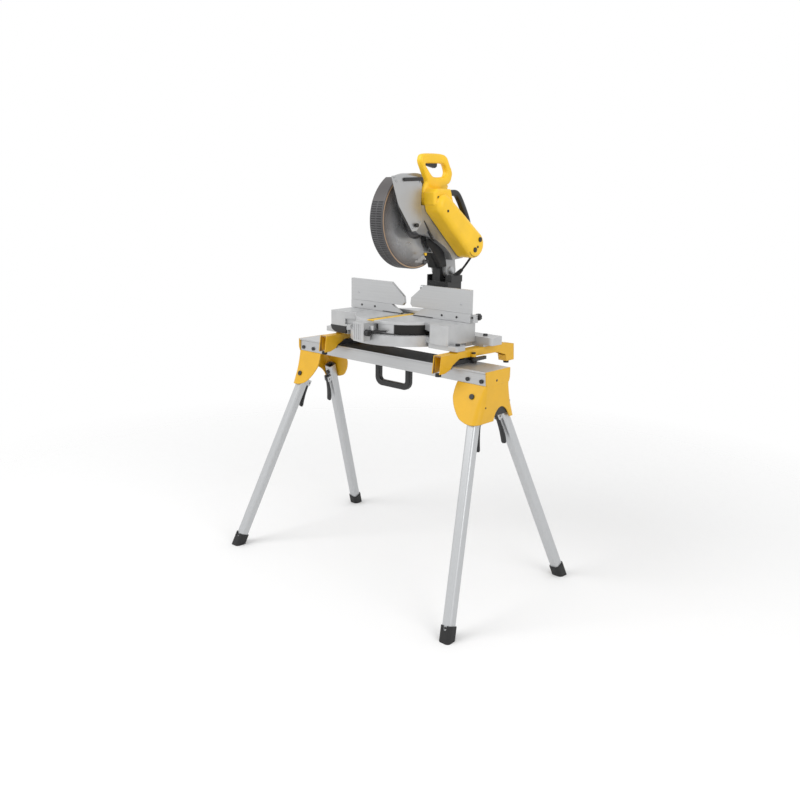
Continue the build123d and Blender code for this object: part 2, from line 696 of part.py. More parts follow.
def make_guard_link():
    face = two_circle_outline((*link_front, 6.0), (*link_rear, 6.0))
    link = side_plate(face, gear_case_x + 2.2, gear_case_x + 6)
    return link + rod_x(3, gear_case_x - 2, gear_case_x + 8, *link_front)


def motor_solid():
    outer = side_plate(two_circle_outline(motor_front, motor_tail), motor_x0, motor_x1)
    outer = fillet(outer.faces().sort_by(Axis.X)[-1].edges(), 22)
    upper = side_plate(outline([(82, 1374), (66, 1360), (68, 1322), (92, 1292), (186, 1292), (170, 1337),
                                (156, 1374)]), motor_x0, 112)
    upper = fillet(upper.faces().sort_by(Axis.X)[-1].edges(), 10)
    return outer + upper


def make_motor_housing():
    body = motor_solid()
    cavity = rod_x(motor_tail[2] - 5, motor_x0 + 5, motor_x1 - 7, *motor_tail[:2])
    body -= cavity
    body -= rod_x(12, motor_x0 - 1, motor_x0 + 6, *motor_tail[:2])
    inner, outer = Vector(*lead_points[0]), Vector(*lead_points[1])
    body -= rod(tuple(inner + (inner - outer) * 0.4), tuple(outer), lead_d / 2 + 0.2)
    return body


def make_motor_lead():
    radii = lead_radii()
    path = FilletPolyline(*lead_points, radius=radii)
    start = Plane(origin=lead_points[0], z_dir=path % 0)
    return sweep(start * Circle(lead_d / 2), path=path)


# Each bend is as wide as its two runs allow
def lead_radii():
    radii = []
    for a, b, c in zip(lead_points, lead_points[1:], lead_points[2:]):
        first, second = Vector(*b) - Vector(*a), Vector(*c) - Vector(*b)
        turn = radians(first.get_angle(second))
        radii.append(0.45 * min(first.length, second.length) / (sin(turn / 2) / cos(turn / 2)))
    return radii


def make_stator():
    y, z = motor_tail[:2]
    core = rod_x(motor_tail[2] - 6, motor_x0 + 14, motor_x1 - 22, y, z)
    return core - rod_x(29, motor_x0, motor_x1, y, z)


def make_armature():
    y, z = motor_tail[:2]
    shaft = rod_x(6, belt_x0 - 1, motor_x1 - 10, y, z)
    shaft += rod_x(27.5, motor_x0 + 16, motor_x1 - 24, y, z)
    shaft += rod_x(18, motor_x1 - 22, motor_x1 - 12, y, z)
    return shaft + rod_x(motor_pulley_r, belt_x0, belt_x1, y, z)


def make_belt():
    a = (arbor_y, arbor_z, arbor_pulley_r)
    b = (motor_tail[0], motor_tail[1], motor_pulley_r)
    ring = two_circle_outline(a, b, belt_thickness + 0.4) - two_circle_outline(a, b, 0.4)
    return side_plate(ring, belt_x0 + 1, belt_x1 - 1)


def make_bearings():
    y, z = motor_tail[:2]
    motor = rod_x(12, motor_x0, motor_x0 + 5, y, z) - rod_x(6 + running_gap, motor_x0 - 1, motor_x0 + 6, y, z)
    arbor = rod_x(14, 24, 33.5, arbor_y, arbor_z)
    arbor -= rod_x(arbor_r + running_gap, 23, 35, arbor_y, arbor_z)
    return Compound(children=[motor, arbor])


def make_arbor():
    shaft = rod_x(arbor_r, -16, belt_x1 + 2, arbor_y, arbor_z)
    shaft += rod_x(arbor_pulley_r, belt_x0, belt_x1, arbor_y, arbor_z)
    return shaft + rod_x(22, blade_thickness / 2, 7, arbor_y, arbor_z)


# Saw blade: a disc with slanted teeth round its edge
def make_blade():
    pitch = 360.0 / blade_teeth
    root = blade_r - 7
    points = []
    for k in range(blade_teeth):
        a = radians(k * pitch)
        b = radians((k + 0.55) * pitch)
        points.append((blade_r * cos(a), blade_r * sin(a)))
        points.append((root * cos(b), root * sin(b)))
    face = outline(points) - Circle(arbor_r)
    half = blade_thickness / 2
    return Pos(0, arbor_y, arbor_z) * side_plate(face, -half, half)


def make_arbor_bolt():
    flange = rod_x(22, -8, -blade_thickness / 2, arbor_y, arbor_z)
    flange -= rod_x(arbor_r, -9, 0, arbor_y, arbor_z)
    head = rod_x(11, -22, -16, arbor_y, arbor_z) + rod_x(11, -16.5, -8, arbor_y, arbor_z)
    return flange + head - rod_x(arbor_r, -16, 0, arbor_y, arbor_z)


def make_handle():
    outer = outline([(48, 1468), (58, 1488), (176, 1490), (197, 1472), (199, 1460), (224, 1427), (206, 1396),
                     (196, 1372), (96, 1372), (90, 1394), (80, 1412), (57, 1450)])
    window = outline([(71, 1457), (180, 1460), (192, 1432), (185, 1416), (120, 1414), (84, 1438)])
    window = fillet(window.vertices(), 6)
    outer = fillet(outer.vertices().filter_by(lambda v: v.Y > 1373), 8)
    mid = (grip_x0 + grip_x1) / 2
    grip = side_plate(outer - window, grip_x0, grip_x1)
    for face in (grip.faces().sort_by(Axis.X)[0], grip.faces().sort_by(Axis.X)[-1]):
        grip = fillet(face.edges(), 8)
    neck = outline([(72, 1330), (84, 1322), (176, 1322), (196, 1376), (94, 1376), (72, 1362)])
    grip += side_plate(neck, grip_x0, motor_x0 - 0.4)
    grip -= block((mid - 7, mid + 7), (72, 146), (1450, 1478))
    return grip + rod_x(2.5, mid - 8, mid + 8, *trigger_pivot)


def make_trigger():
    mid = (grip_x0 + grip_x1) / 2
    y, z = trigger_pivot
    face = outline([(y - 4, z - 5), (y - 4, z + 4), (y + 4, z + 5), (y + 62, z - 4), (y + 62, z - 14),
                    (y + 52, z - 20), (y + 8, z - 12)])
    return side_plate(face, mid - 6, mid + 6) - rod_x(2.5 + running_gap, mid - 8, mid + 8, y, z)


def make_carry_handle():
    path = [(140, 1350), (150, 1376), (212, 1378), (224, 1366), (250, 1337), (283, 1273), (293, 1250),
            (288, 1222)]
    inner = [(140, 1330), (178, 1342), (196, 1348), (214, 1328), (244, 1285), (268, 1252), (262, 1234)]
    face = outline(path + inner[::-1])
    face = fillet(face.vertices().filter_by(lambda v: 1300 < v.Y < 1385 and v.X > 200), 5)
    return side_plate(face, 78, 104) - motor_solid()


# Dust boot behind the blade: a deep lobe in front of the post's drum and a wider one beside the hood
def make_chute():
    deep = outline([(150, 1172), (168, 1146), (194, 1114), (202, 1092), (213, 1092), (238, 1110), (240, 1122),
                    (214.5, 1160), (186.5, 1180)])
    wide = outline([(118, 1196), (150, 1199), (178, 1190), (204, 1170), (222, 1147), (235, 1114), (238, 1098),
                    (206, 1096), (196, 1114), (170, 1146), (150, 1166), (126, 1180)])
    boot = side_plate(deep, -27, post_x1) + side_plate(wide, post_x1, boot_x)
    boot -= rod_x(upper_r, -30, upper_half_x + 0.3, arbor_y, arbor_z)
    boot -= rod_x(drum_r + 0.5, -30, post_x1 + 0.3, chop_y, chop_z)
    return boot - make_head_casting()


def make_lock_button():
    y, z = lock_button()
    return rod_x(5, 57, 71, y, z) + rod_x(7, 68, 72, y, z)


def make_brush_caps():
    caps = []
    for y, z in ((motor_tail[0] + 14, motor_tail[1] + 18), (motor_tail[0] - 14, motor_tail[1] - 18)):
        caps.append(rod_x(9, motor_x1, motor_x1 + 3, y, z))
    return Compound(children=caps)


def nodes():
    parts = {
        "beam": make_beam(), "beam_handle": make_beam_handle(),
        "housing_right": make_housing("right"), "housing_left": make_housing("left"),
        "stand_bolts": Compound(children=make_pivot_bolts() + make_web_bolts()),
    }
    for side in ("right", "left"):
        for end in ("front", "back"):
            parts[f"leg_{end}_{side}"] = make_leg(side, end)
            parts[f"foot_{end}_{side}"] = make_foot(side, end)
            parts[f"leg_lever_{end}_{side}"] = make_leg_lever(side, end)
    for side in ("right", "left"):
        parts[f"bracket_{side}"] = make_bracket(side) + make_clamp_lug(side)
        parts[f"clamp_lever_{side}"] = make_clamp_lever(side)
        parts[f"fence_{side}"] = make_sliding_fence(side)
        parts[f"fence_knob_{side}"] = make_fence_knob(side)
    parts.update({
        "beam_saddles": make_saddles(), "bracket_bumpers": make_bumpers(), "mount_bolts": make_mount_bolts(),
        "saw_base": make_saw_base(), "detent_plate": make_detent_plate(), "fixed_fence": make_fixed_fence(),
        "turntable": make_turntable(), "kerf_plates": make_kerf_plates(),
        "mitre_knob": make_mitre_knob(), "detent_lever": make_detent_lever(), "bevel_pin": make_bevel_pin(),
        "bevel_post": make_post(), "bevel_lever": make_bevel_lever(), "chop_pin": make_chop_pin(),
        "return_spring": make_return_spring(), "lock_pin": make_lock_pin(), "handle": make_handle(),
        "head_casting": make_head_casting(), "guard_plate": make_guard_plate(),
        "guard_link": make_guard_link(), "lower_guard": make_lower_guard(),
        "motor_housing": make_motor_housing(), "motor_lead": make_motor_lead(), "stator": make_stator(),
        "armature": make_armature(),
        "drive_belt": make_belt(), "bearings": make_bearings(), "arbor_shaft": make_arbor(),
        "saw_blade": make_blade(), "arbor_bolt": make_arbor_bolt(), "trigger": make_trigger(),
        "carry_handle": make_carry_handle(), "dust_chute": make_chute(), "spindle_lock": make_lock_button(),
        "brush_caps": make_brush_caps(),
    })
    return parts


def main():
    os.makedirs("parts", exist_ok=True)
    for name, shape in nodes().items():
        export_step(shape, f"parts/{name}.step")
    print("lead bend radii, mm:", [round(r, 1) for r in lead_radii()])


if __name__ == "__main__":
    main()
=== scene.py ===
import math

import bmesh
import bpy
import numpy as np
from mathutils import Matrix, Vector


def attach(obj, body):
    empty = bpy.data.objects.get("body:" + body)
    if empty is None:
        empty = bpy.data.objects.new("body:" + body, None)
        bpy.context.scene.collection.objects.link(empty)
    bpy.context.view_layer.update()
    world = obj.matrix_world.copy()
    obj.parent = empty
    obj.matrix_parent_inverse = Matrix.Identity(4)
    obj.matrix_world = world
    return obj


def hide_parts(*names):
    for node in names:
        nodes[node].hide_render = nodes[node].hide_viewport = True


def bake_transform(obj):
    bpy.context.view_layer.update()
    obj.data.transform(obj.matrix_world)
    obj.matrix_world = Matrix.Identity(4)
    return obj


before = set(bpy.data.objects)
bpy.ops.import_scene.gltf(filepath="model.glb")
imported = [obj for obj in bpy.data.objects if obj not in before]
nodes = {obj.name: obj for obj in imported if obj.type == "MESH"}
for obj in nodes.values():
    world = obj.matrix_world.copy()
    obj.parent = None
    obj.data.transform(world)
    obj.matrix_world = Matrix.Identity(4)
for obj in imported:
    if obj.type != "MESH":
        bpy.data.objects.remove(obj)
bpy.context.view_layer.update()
mm = 0.001
toRight, toLeft, toFront = (1, 0, 0), (-1, 0, 0), (0, -1, 0)
print("frame loaded:", len(nodes), "nodes")

# the saw's two axes in mm: the blade's arbor lies along x, the table's swing axis stands along z
arborAt = (0.0, 62.0, 1268.0)
swingAt = (0.0, 58.0, 0.0)

# camera: the azimuth and the pitch give its backward direction, and it rolls about that
cameraFit = {"place": (1.9863, -2.1591, 1.3485), "azimuth": 42.27, "pitch": 13.86, "roll": 0.78,
             "lens": 37.22, "sensor": 36.0}


def makeCamera():
    a, e, r = (math.radians(cameraFit[key]) for key in ("azimuth", "pitch", "roll"))
    back = Vector((math.sin(a) * math.cos(e), -math.cos(a) * math.cos(e), math.sin(e)))
    right = Vector((math.cos(a), math.sin(a), 0))
    up = back.cross(right)
    level, lift = right * math.cos(r) + up * math.sin(r), up * math.cos(r) - right * math.sin(r)
    camera = bpy.data.cameras.new("camera")
    camera.lens = cameraFit["lens"]
    camera.sensor_width = cameraFit["sensor"]
    obj = bpy.data.objects.new("camera", camera)
    turn = Matrix((level, lift, back)).transposed().to_4x4()
    obj.matrix_world = Matrix.Translation(cameraFit["place"]) @ turn
    bpy.context.scene.collection.objects.link(obj)
    bpy.context.scene.camera = obj


makeCamera()


# finishes: small helpers that add nodes to a material; a socket's id_data is the tree that it belongs to
def link(value, socket):
    value.id_data.links.new(value, socket)


def setInputs(node, values):
    for key, value in values.items():
        node.inputs[key].default_value = value


def newFinish(name, colour, rough, metallic=0.0, coat=0.0, specular=0.5):
    mat = bpy.data.materials.new(name)
    mat.use_nodes = True
    tree = mat.node_tree
    shader = tree.nodes["Principled BSDF"]
    setInputs(shader, {"Base Color": (*colour, 1), "Roughness": rough, "Metallic": metallic,
                       "Coat Weight": coat, "Specular IOR Level": specular})
    return mat, tree, shader


def addNode(tree, kind, **values):
    node = tree.nodes.new(kind)
    for key, value in values.items():
        if key in node.inputs:
            node.inputs[key].default_value = value
        else:
            setattr(node, key, value)
    return node


def objectPoint(tree, scale=(1, 1, 1), centre=(0, 0, 0)):
    coord = addNode(tree, "ShaderNodeTexCoord")
    mapping = addNode(tree, "ShaderNodeMapping")
    setInputs(mapping, {"Scale": scale, "Location": [-c * s for c, s in zip(centre, scale)]})
    link(coord.outputs["Object"], mapping.inputs["Vector"])
    return mapping.outputs["Vector"]


# the point in metres, counted from a place in mm
def pointFrom(tree, place):
    return objectPoint(tree, centre=[c * mm for c in place])


def axesOf(point):
    split = addNode(point.id_data, "ShaderNodeSeparateXYZ")
    link(point, split.inputs[0])
    return split.outputs[0], split.outputs[1], split.outputs[2]


def noiseAt(point, scale, detail=3.0, rough=0.55):
    noise = addNode(point.id_data, "ShaderNodeTexNoise", Scale=scale, Detail=detail, Roughness=rough)
    link(point, noise.inputs["Vector"])
    return noise.outputs["Fac"]


# ramp between two tones, each a place on the ramp and a colour
def ramp(fac, stops):
    node = addNode(fac.id_data, "ShaderNodeValToRGB")
    for element, (place, colour) in zip(node.color_ramp.elements, stops):
        element.position = place
        element.color = (*colour, 1)
    link(fac, node.inputs["Fac"])
    return node.outputs["Color"]


def shade(colour, amount):
    return tuple(min(1.0, max(0.0, c * amount)) for c in colour)


# a darker and a lighter shade of one colour
def shades(fac, colour, dark, light, places=(0.3, 0.7)):
    return ramp(fac, [(places[0], shade(colour, dark)), (places[1], shade(colour, light))])


# streaks: a noise stretched along one axis, and the shades that follow it
def streaks(tree, stretch, colour, dark, light):
    lines = noiseAt(objectPoint(tree, stretch), 1.0, 4.0, 0.6)
    return lines, shades(lines, colour, dark, light, (0.25, 0.75))


def span(fac, low, high, start=0.0, stop=1.0):
    node = addNode(fac.id_data, "ShaderNodeMapRange")
    setInputs(node, {"From Min": start, "From Max": stop, "To Min": low, "To Max": high})
    link(fac, node.inputs["Value"])
    return node.outputs["Result"]


def sums(operation, first, second=0):
    node = addNode(first.id_data, "ShaderNodeMath", operation=operation)
    for socket, value in zip(node.inputs, (first, second)):
        if isinstance(value, (int, float)):
            socket.default_value = value
        else:
            link(value, socket)
    return node.outputs[0]


# masks: one that rises from 0 to 1 between two values, one that falls, a band of both, the product of several
def rising(value, start, stop):
    return span(value, 0.0, 1.0, start, stop)


def falling(value, start, stop):
    return span(value, 1.0, 0.0, start, stop)


def within(value, start, full, still, stop):
    return times(rising(value, start, full), falling(value, still, stop))


def times(product, *others):
    for other in others:
        product = sums("MULTIPLY", product, other)
    return product


# distance from an axis: the root of two squares added
def awayFrom(a, b):
    squares = sums("ADD", times(a, a), times(b, b))
    return sums("SQRT", squares)


def fromArbor(tree):
    _, y, z = axesOf(pointFrom(tree, arborAt))
    return awayFrom(y, z)


# distance from the middle plane of the saw
def sideways(tree):
    return sums("ABSOLUTE", axesOf(objectPoint(tree))[0])


# angle about the swing axis, from the front towards the right
def swingTurn(x, y):
    return sums("ARCTAN2", x, times(y, -1.0))


def mixTone(fac, first, second):
    mixer = addNode(fac.id_data, "ShaderNodeMix", data_type="RGBA")
    link(fac, mixer.inputs[0])
    for socket, value in ((mixer.inputs[6], first), (mixer.inputs[7], second)):
        if isinstance(value, tuple):
            socket.default_value = (*value, 1)
        else:
            link(value, socket)
    return mixer.outputs[2]


# areas of another tone, each a mask and its tone
def addAreas(tone, areas):
    for area, areaTone in areas:
        tone = mixTone(area(tone.id_data), tone, areaTone)
    return tone


# edge mask: how far a rounded normal leans away from the flat one, 0 on faces and 1 on edges
def edgeMask(tree, radius, gain):
    bevel = addNode(tree, "ShaderNodeBevel", samples=4, Radius=radius)
    geometry = addNode(tree, "ShaderNodeNewGeometry")
    dot = addNode(tree, "ShaderNodeVectorMath", operation="DOT_PRODUCT")
    link(bevel.outputs["Normal"], dot.inputs[0])
    link(geometry.outputs["Normal"], dot.inputs[1])
    return span(dot.outputs["Value"], 0.0, 1.0, 1.0, 1.0 - 1.0 / gain)


# bump: a depth in metres, a strength and, where given, a radius that rounds the edges in the shading
def bump(shader, height, depth, strength, edge=0.0):
    node = addNode(height.id_data, "ShaderNodeBump", Strength=strength, Distance=depth)
    link(height, node.inputs["Height"])
    if edge:
        bevel = addNode(height.id_data, "ShaderNodeBevel", samples=6, Radius=edge)
        link(bevel.outputs["Normal"], node.inputs["Normal"])
    link(node.outputs["Normal"], shader.inputs["Normal"])


def dress(shader, tone, rough):
    link(tone, shader.inputs["Base Color"])
    link(rough, shader.inputs["Roughness"])


# painted or moulded finish: mottled colour, areas of another tone, pale edges in patches that are partly wear
# and partly painted highlight, grain in the bump
grainRule = {"cloud": (14.0, 5.0), "wearAndHighlightEdge": (0.0012, 3.0), "wearAndHighlightScale": 60.0, "wearAndHighlightMost": 0.7,
             "spread": (-0.06, 0.08), "detail": 2.0, "bump": 0.4}


def grainFinish(name, colour, rough, grain, edgeWearAndHighlight, coat=0.0, mottle=0.06, edge=0.0015, areas=()):
    g, (fine, depth) = grainRule, grain
    mat, tree, shader = newFinish(name, colour, rough, coat=coat)
    point = objectPoint(tree)
    cloud = noiseAt(point, *g["cloud"])
    tone = addAreas(shades(cloud, colour, 1 - mottle, 1 + mottle), areas)
    # pale edges in patches: partly wear, partly painted highlight on the edges
    patches = span(noiseAt(point, g["wearAndHighlightScale"]), 0.0, g["wearAndHighlightMost"])
    tone = mixTone(times(edgeMask(tree, *g["wearAndHighlightEdge"]), patches), tone, edgeWearAndHighlight)
    dress(shader, tone, span(cloud, *(rough + change for change in g["spread"])))
    bump(shader, noiseAt(point, fine, g["detail"]), depth, g["bump"], edge)
    return mat


# drawn or brushed metal: streaks along one axis
drawnRule = {"fine": 260.0, "along": 4.0, "cloud": (9.0, 4.0), "spread": (-0.05, 0.1), "tones": (0.95, 1.05),
             "bump": (0.00004, 0.25)}


def drawnFinish(name, colour, rough, along, metallic=0.75, edge=0.0008, areas=()):
    d = drawnRule
    mat, tree, shader = newFinish(name, colour, rough, metallic=metallic)
    stretch = [d["along"] if axis == along else d["fine"] for axis in "xyz"]
    lines, tone = streaks(tree, stretch, colour, *d["tones"])
    cloud = noiseAt(objectPoint(tree), *d["cloud"])
    dress(shader, addAreas(tone, areas), span(cloud, *(rough + change for change in d["spread"])))
    bump(shader, lines, *d["bump"], edge)
    return mat


# cast metal: fine pits and soft tone patches
castRule = {"metal": 0.6, "cloud": (22.0, 6.0), "tones": (0.92, 1.06), "places": (0.3, 0.72),
            "spread": (-0.05, 0.1), "pits": (900.0, 2.0), "bump": (0.00012, 0.35, 0.0014)}


def castFinish(name, colour, rough, areas=()):
    c = castRule
    mat, tree, shader = newFinish(name, colour, rough, metallic=c["metal"])
    point = objectPoint(tree)
    cloud = noiseAt(point, *c["cloud"])
    tone = addAreas(shades(cloud, colour, *c["tones"], c["places"]), areas)
    dress(shader, tone, span(cloud, *(rough + change for change in c["spread"])))
    bump(shader, noiseAt(point, *c["pits"]), *c["bump"])
    return mat


# area masks: each pair is where a mask starts to change and where it has changed, in metres or radians, and
# four values are a band, up and down again
# painted shadow on the open side of the table, right of the arm: a ring round the swing axis, under the top,
# past an angle
tableDark = {"ring": (0.1845, 0.1852, 0.1872, 0.1878), "under": (0.9216, 0.9222),
             "past": (math.radians(27.5), math.radians(28.5))}


def tableShadow(tree):
    x, y, z = axesOf(pointFrom(tree, swingAt))
    away, turn = awayFrom(x, y), swingTurn(x, y)
    return times(within(away, *tableDark["ring"]), falling(z, *tableDark["under"]),
                 rising(turn, *tableDark["past"]))


# the shadow line along the fence's foot, where it bridges the table
footDark = {"half": (0.120, 0.124), "under": (0.9345, 0.9355)}


def fenceFoot(tree):
    height = axesOf(objectPoint(tree))[2]
    return times(falling(sideways(tree), *footDark["half"]), falling(height, *footDark["under"]))


# the guard's dips between the ribs, darkened as painted shade, its smooth top, and a bronze line along its side
# edges that is a painted reflection
guardAreas = {"dip": (0.1676, 0.1678, 0.1686, 0.1698), "dipHalf": (0.0255, 0.0265), "top": (1.331, 1.333),
              "line": (0.1625, 0.1630, 0.1662, 0.1668), "lineHalf": (0.0294, 0.0297)}


# painted shade in the dips between the ribs
def guardDipShade(tree):
    band = within(fromArbor(tree), *guardAreas["dip"])
    return times(band, falling(sideways(tree), *guardAreas["dipHalf"]))


def guardTop(tree):
    return rising(axesOf(objectPoint(tree))[2], *guardAreas["top"])


# painted reflection: a bronze line along the rim's side edges
def guardEdgeReflection(tree):
    band = within(fromArbor(tree), *guardAreas["line"])
    return times(band, rising(sideways(tree), *guardAreas["lineHalf"]))


# painted shade on the neck's front edge, darker where it turns under: a slanted distance from the line between
# hood and post
neckDark = {"from": (0.0, 98.0, 1236.0), "slant": (0.5825, 0.813), "deep": 0.6, "wide": 0.030,
            "under": (0.0, 0.04), "right": (0.0300, 0.0312), "before": (0.045, 0.080)}


def neckShade(tree):
    n = neckDark
    x, y, z = axesOf(pointFrom(tree, n["from"]))
    byY, byZ = n["slant"]
    up = sums("ADD", times(y, byY), times(z, byZ))
    near = span(up, n["deep"], 0.0, 0.0, n["wide"])
    return times(near, falling(z, *n["under"]), rising(x, *n["right"]), falling(y, *n["before"]))


# painted shade on the inner walls of the two saw brackets, near their front ends
bracketDark = {"middles": (0.2985, -0.2495), "half": (0.0136, 0.0139), "before": (-0.122, -0.118)}


def bracketInsideShade(tree):
    x, y, _ = axesOf(objectPoint(tree))
    right, left = (sums("ABSOLUTE", sums("SUBTRACT", x, middle)) for middle in bracketDark["middles"])
    inside = falling(sums("MINIMUM", right, left), *bracketDark["half"])
    return times(inside, falling(y, *bracketDark["before"]))


# drawn beam: pale webs with fine grooves along X, and a dark strip on its top between the brackets, partly a
# black grip strip and partly painted shadow of the saw above
beamLook = {"rough": 0.34, "metal": 0.75, "stretch": (3.0, 240.0, 240.0), "tones": (0.94, 1.05),
            "stripMiddle": 0.0245, "stripHalf": (0.252, 0.254), "stripUp": (0.8040, 0.8043),
            "stripTone": (0.017, 0.017, 0.018), "stripRough": 0.62, "grooves": 900.0, "grooveShare": 0.5,
            "bump": (0.0001, 0.3, 0.001)}


def beamFinish(name, colour):
    b = beamLook
    mat, tree, shader = newFinish(name, colour, b["rough"], metallic=b["metal"])
    x, _, z = axesOf(objectPoint(tree))
    lines, tone = streaks(tree, b["stretch"], colour, *b["tones"])
    along = sums("ABSOLUTE", sums("SUBTRACT", x, b["stripMiddle"]))
    # the dark strip: partly a grip strip, partly painted shadow under the saw
    strip = times(rising(z, *b["stripUp"]), falling(along, *b["stripHalf"]))
    rough = span(strip, b["rough"], b["stripRough"])
    dress(shader, mixTone(strip, tone, b["stripTone"]), rough)
    link(span(strip, b["metal"], 0.0), shader.inputs["Metallic"])
    groove = sums("SINE", times(z, b["grooves"]))
    height = sums("ADD", times(groove, b["grooveShare"]), lines)
    bump(shader, height, *b["bump"])
    return mat


# see-through guard wall: clear near the arbor, browner and denser towards the rim, with hazy patches
clearLook = {"rough": 0.22, "cloud": (11.0, 5.0), "tones": (0.85, 1.15), "brown": (0.115, 0.160),
             "dense": (0.26, 0.66, 0.095, 0.160), "haze": (40.0, 4.0), "hazeRough": (0.16, 0.34)}


def clearFinish(name, colour, rimColour):
    c = clearLook
    mat, tree, shader = newFinish(name, colour, c["rough"])
    point, away = objectPoint(tree), fromArbor(tree)
    tone = shades(noiseAt(point, *c["cloud"]), colour, *c["tones"])
    tone = mixTone(rising(away, *c["brown"]), tone, rimColour)
    dress(shader, tone, span(noiseAt(point, *c["haze"]), *c["hazeRough"]))
    link(span(away, *c["dense"]), shader.inputs["Alpha"])
    return mat


# blade: rings of grinding marks about the arbor, which draw the gloss out along them
bladeLook = {"rough": 0.28, "metal": 0.95, "drawn": 0.8, "rings": 900.0, "ringDetail": 3.0,
             "tones": (0.85, 1.1), "smudge": 30.0, "smudgeRough": (0.22, 0.36), "bump": (0.00003, 0.3)}


def bladeFinish(name, colour):
    b = bladeLook
    mat, tree, shader = newFinish(name, colour, b["rough"], metallic=b["metal"])
    shader.inputs["Anisotropic"].default_value = b["drawn"]
    point = pointFrom(tree, arborAt)
    _, y, z = axesOf(point)
    around = addNode(tree, "ShaderNodeCombineXYZ")
    link(times(z, -1.0), around.inputs["Y"])
    link(y, around.inputs["Z"])
    turn = addNode(tree, "ShaderNodeVectorTransform", vector_type="VECTOR", convert_from="OBJECT",
                   convert_to="WORLD")
    link(around.outputs[0], turn.inputs[0])
    link(turn.outputs[0], shader.inputs["Tangent"])
    ring = addNode(tree, "ShaderNodeTexNoise", noise_dimensions="1D", Scale=b["rings"], Detail=b["ringDetail"])
    link(awayFrom(y, z), ring.inputs["W"])
    marks = ring.outputs["Fac"]
    rough = span(noiseAt(point, b["smudge"]), *b["smudgeRough"])
    dress(shader, shades(marks, colour, *b["tones"]), rough)
    bump(shader, marks, *b["bump"])
    return mat


# detent plate: brushed steel with dark degree marks, a line where the angle about the swing axis nears a
# whole step; the marks of every fifth degree reach further in
scaleLook = {"rough": 0.3, "metal": 0.8, "stretch": (4.0, 300.0, 300.0), "tones": (0.94, 1.05),
             "drawnRough": (0.24, 0.4), "bump": (0.00003, 0.25), "markTone": (0.015, 0.015, 0.016),
             "shift": 90.5,
             "marks": [{"perDegree": 1.0, "half": (0.10, 0.13), "from": (0.1985, 0.1988)},
                       {"perDegree": 0.2, "half": (0.026, 0.032), "from": (0.1925, 0.193)}]}


def scaleFinish(name, colour):
    s = scaleLook
    mat, tree, shader = newFinish(name, colour, s["rough"], metallic=s["metal"])
    x, y, _ = axesOf(pointFrom(tree, swingAt))
    turn = times(swingTurn(x, y), 180.0 / math.pi)
    away = awayFrom(x, y)
    marks = []
    for mark in s["marks"]:
        count = sums("ADD", times(turn, mark["perDegree"]), s["shift"])
        near = sums("ABSOLUTE", sums("SUBTRACT", sums("FRACT", count), 0.5))
        marks.append(times(falling(near, *mark["half"]), rising(away, *mark["from"])))
    lines, tone = streaks(tree, s["stretch"], colour, *s["tones"])
    tone = mixTone(sums("MAXIMUM", *marks), tone, s["markTone"])
    dress(shader, tone, span(lines, *s["drawnRough"]))
    bump(shader, lines, *s["bump"])
    return mat


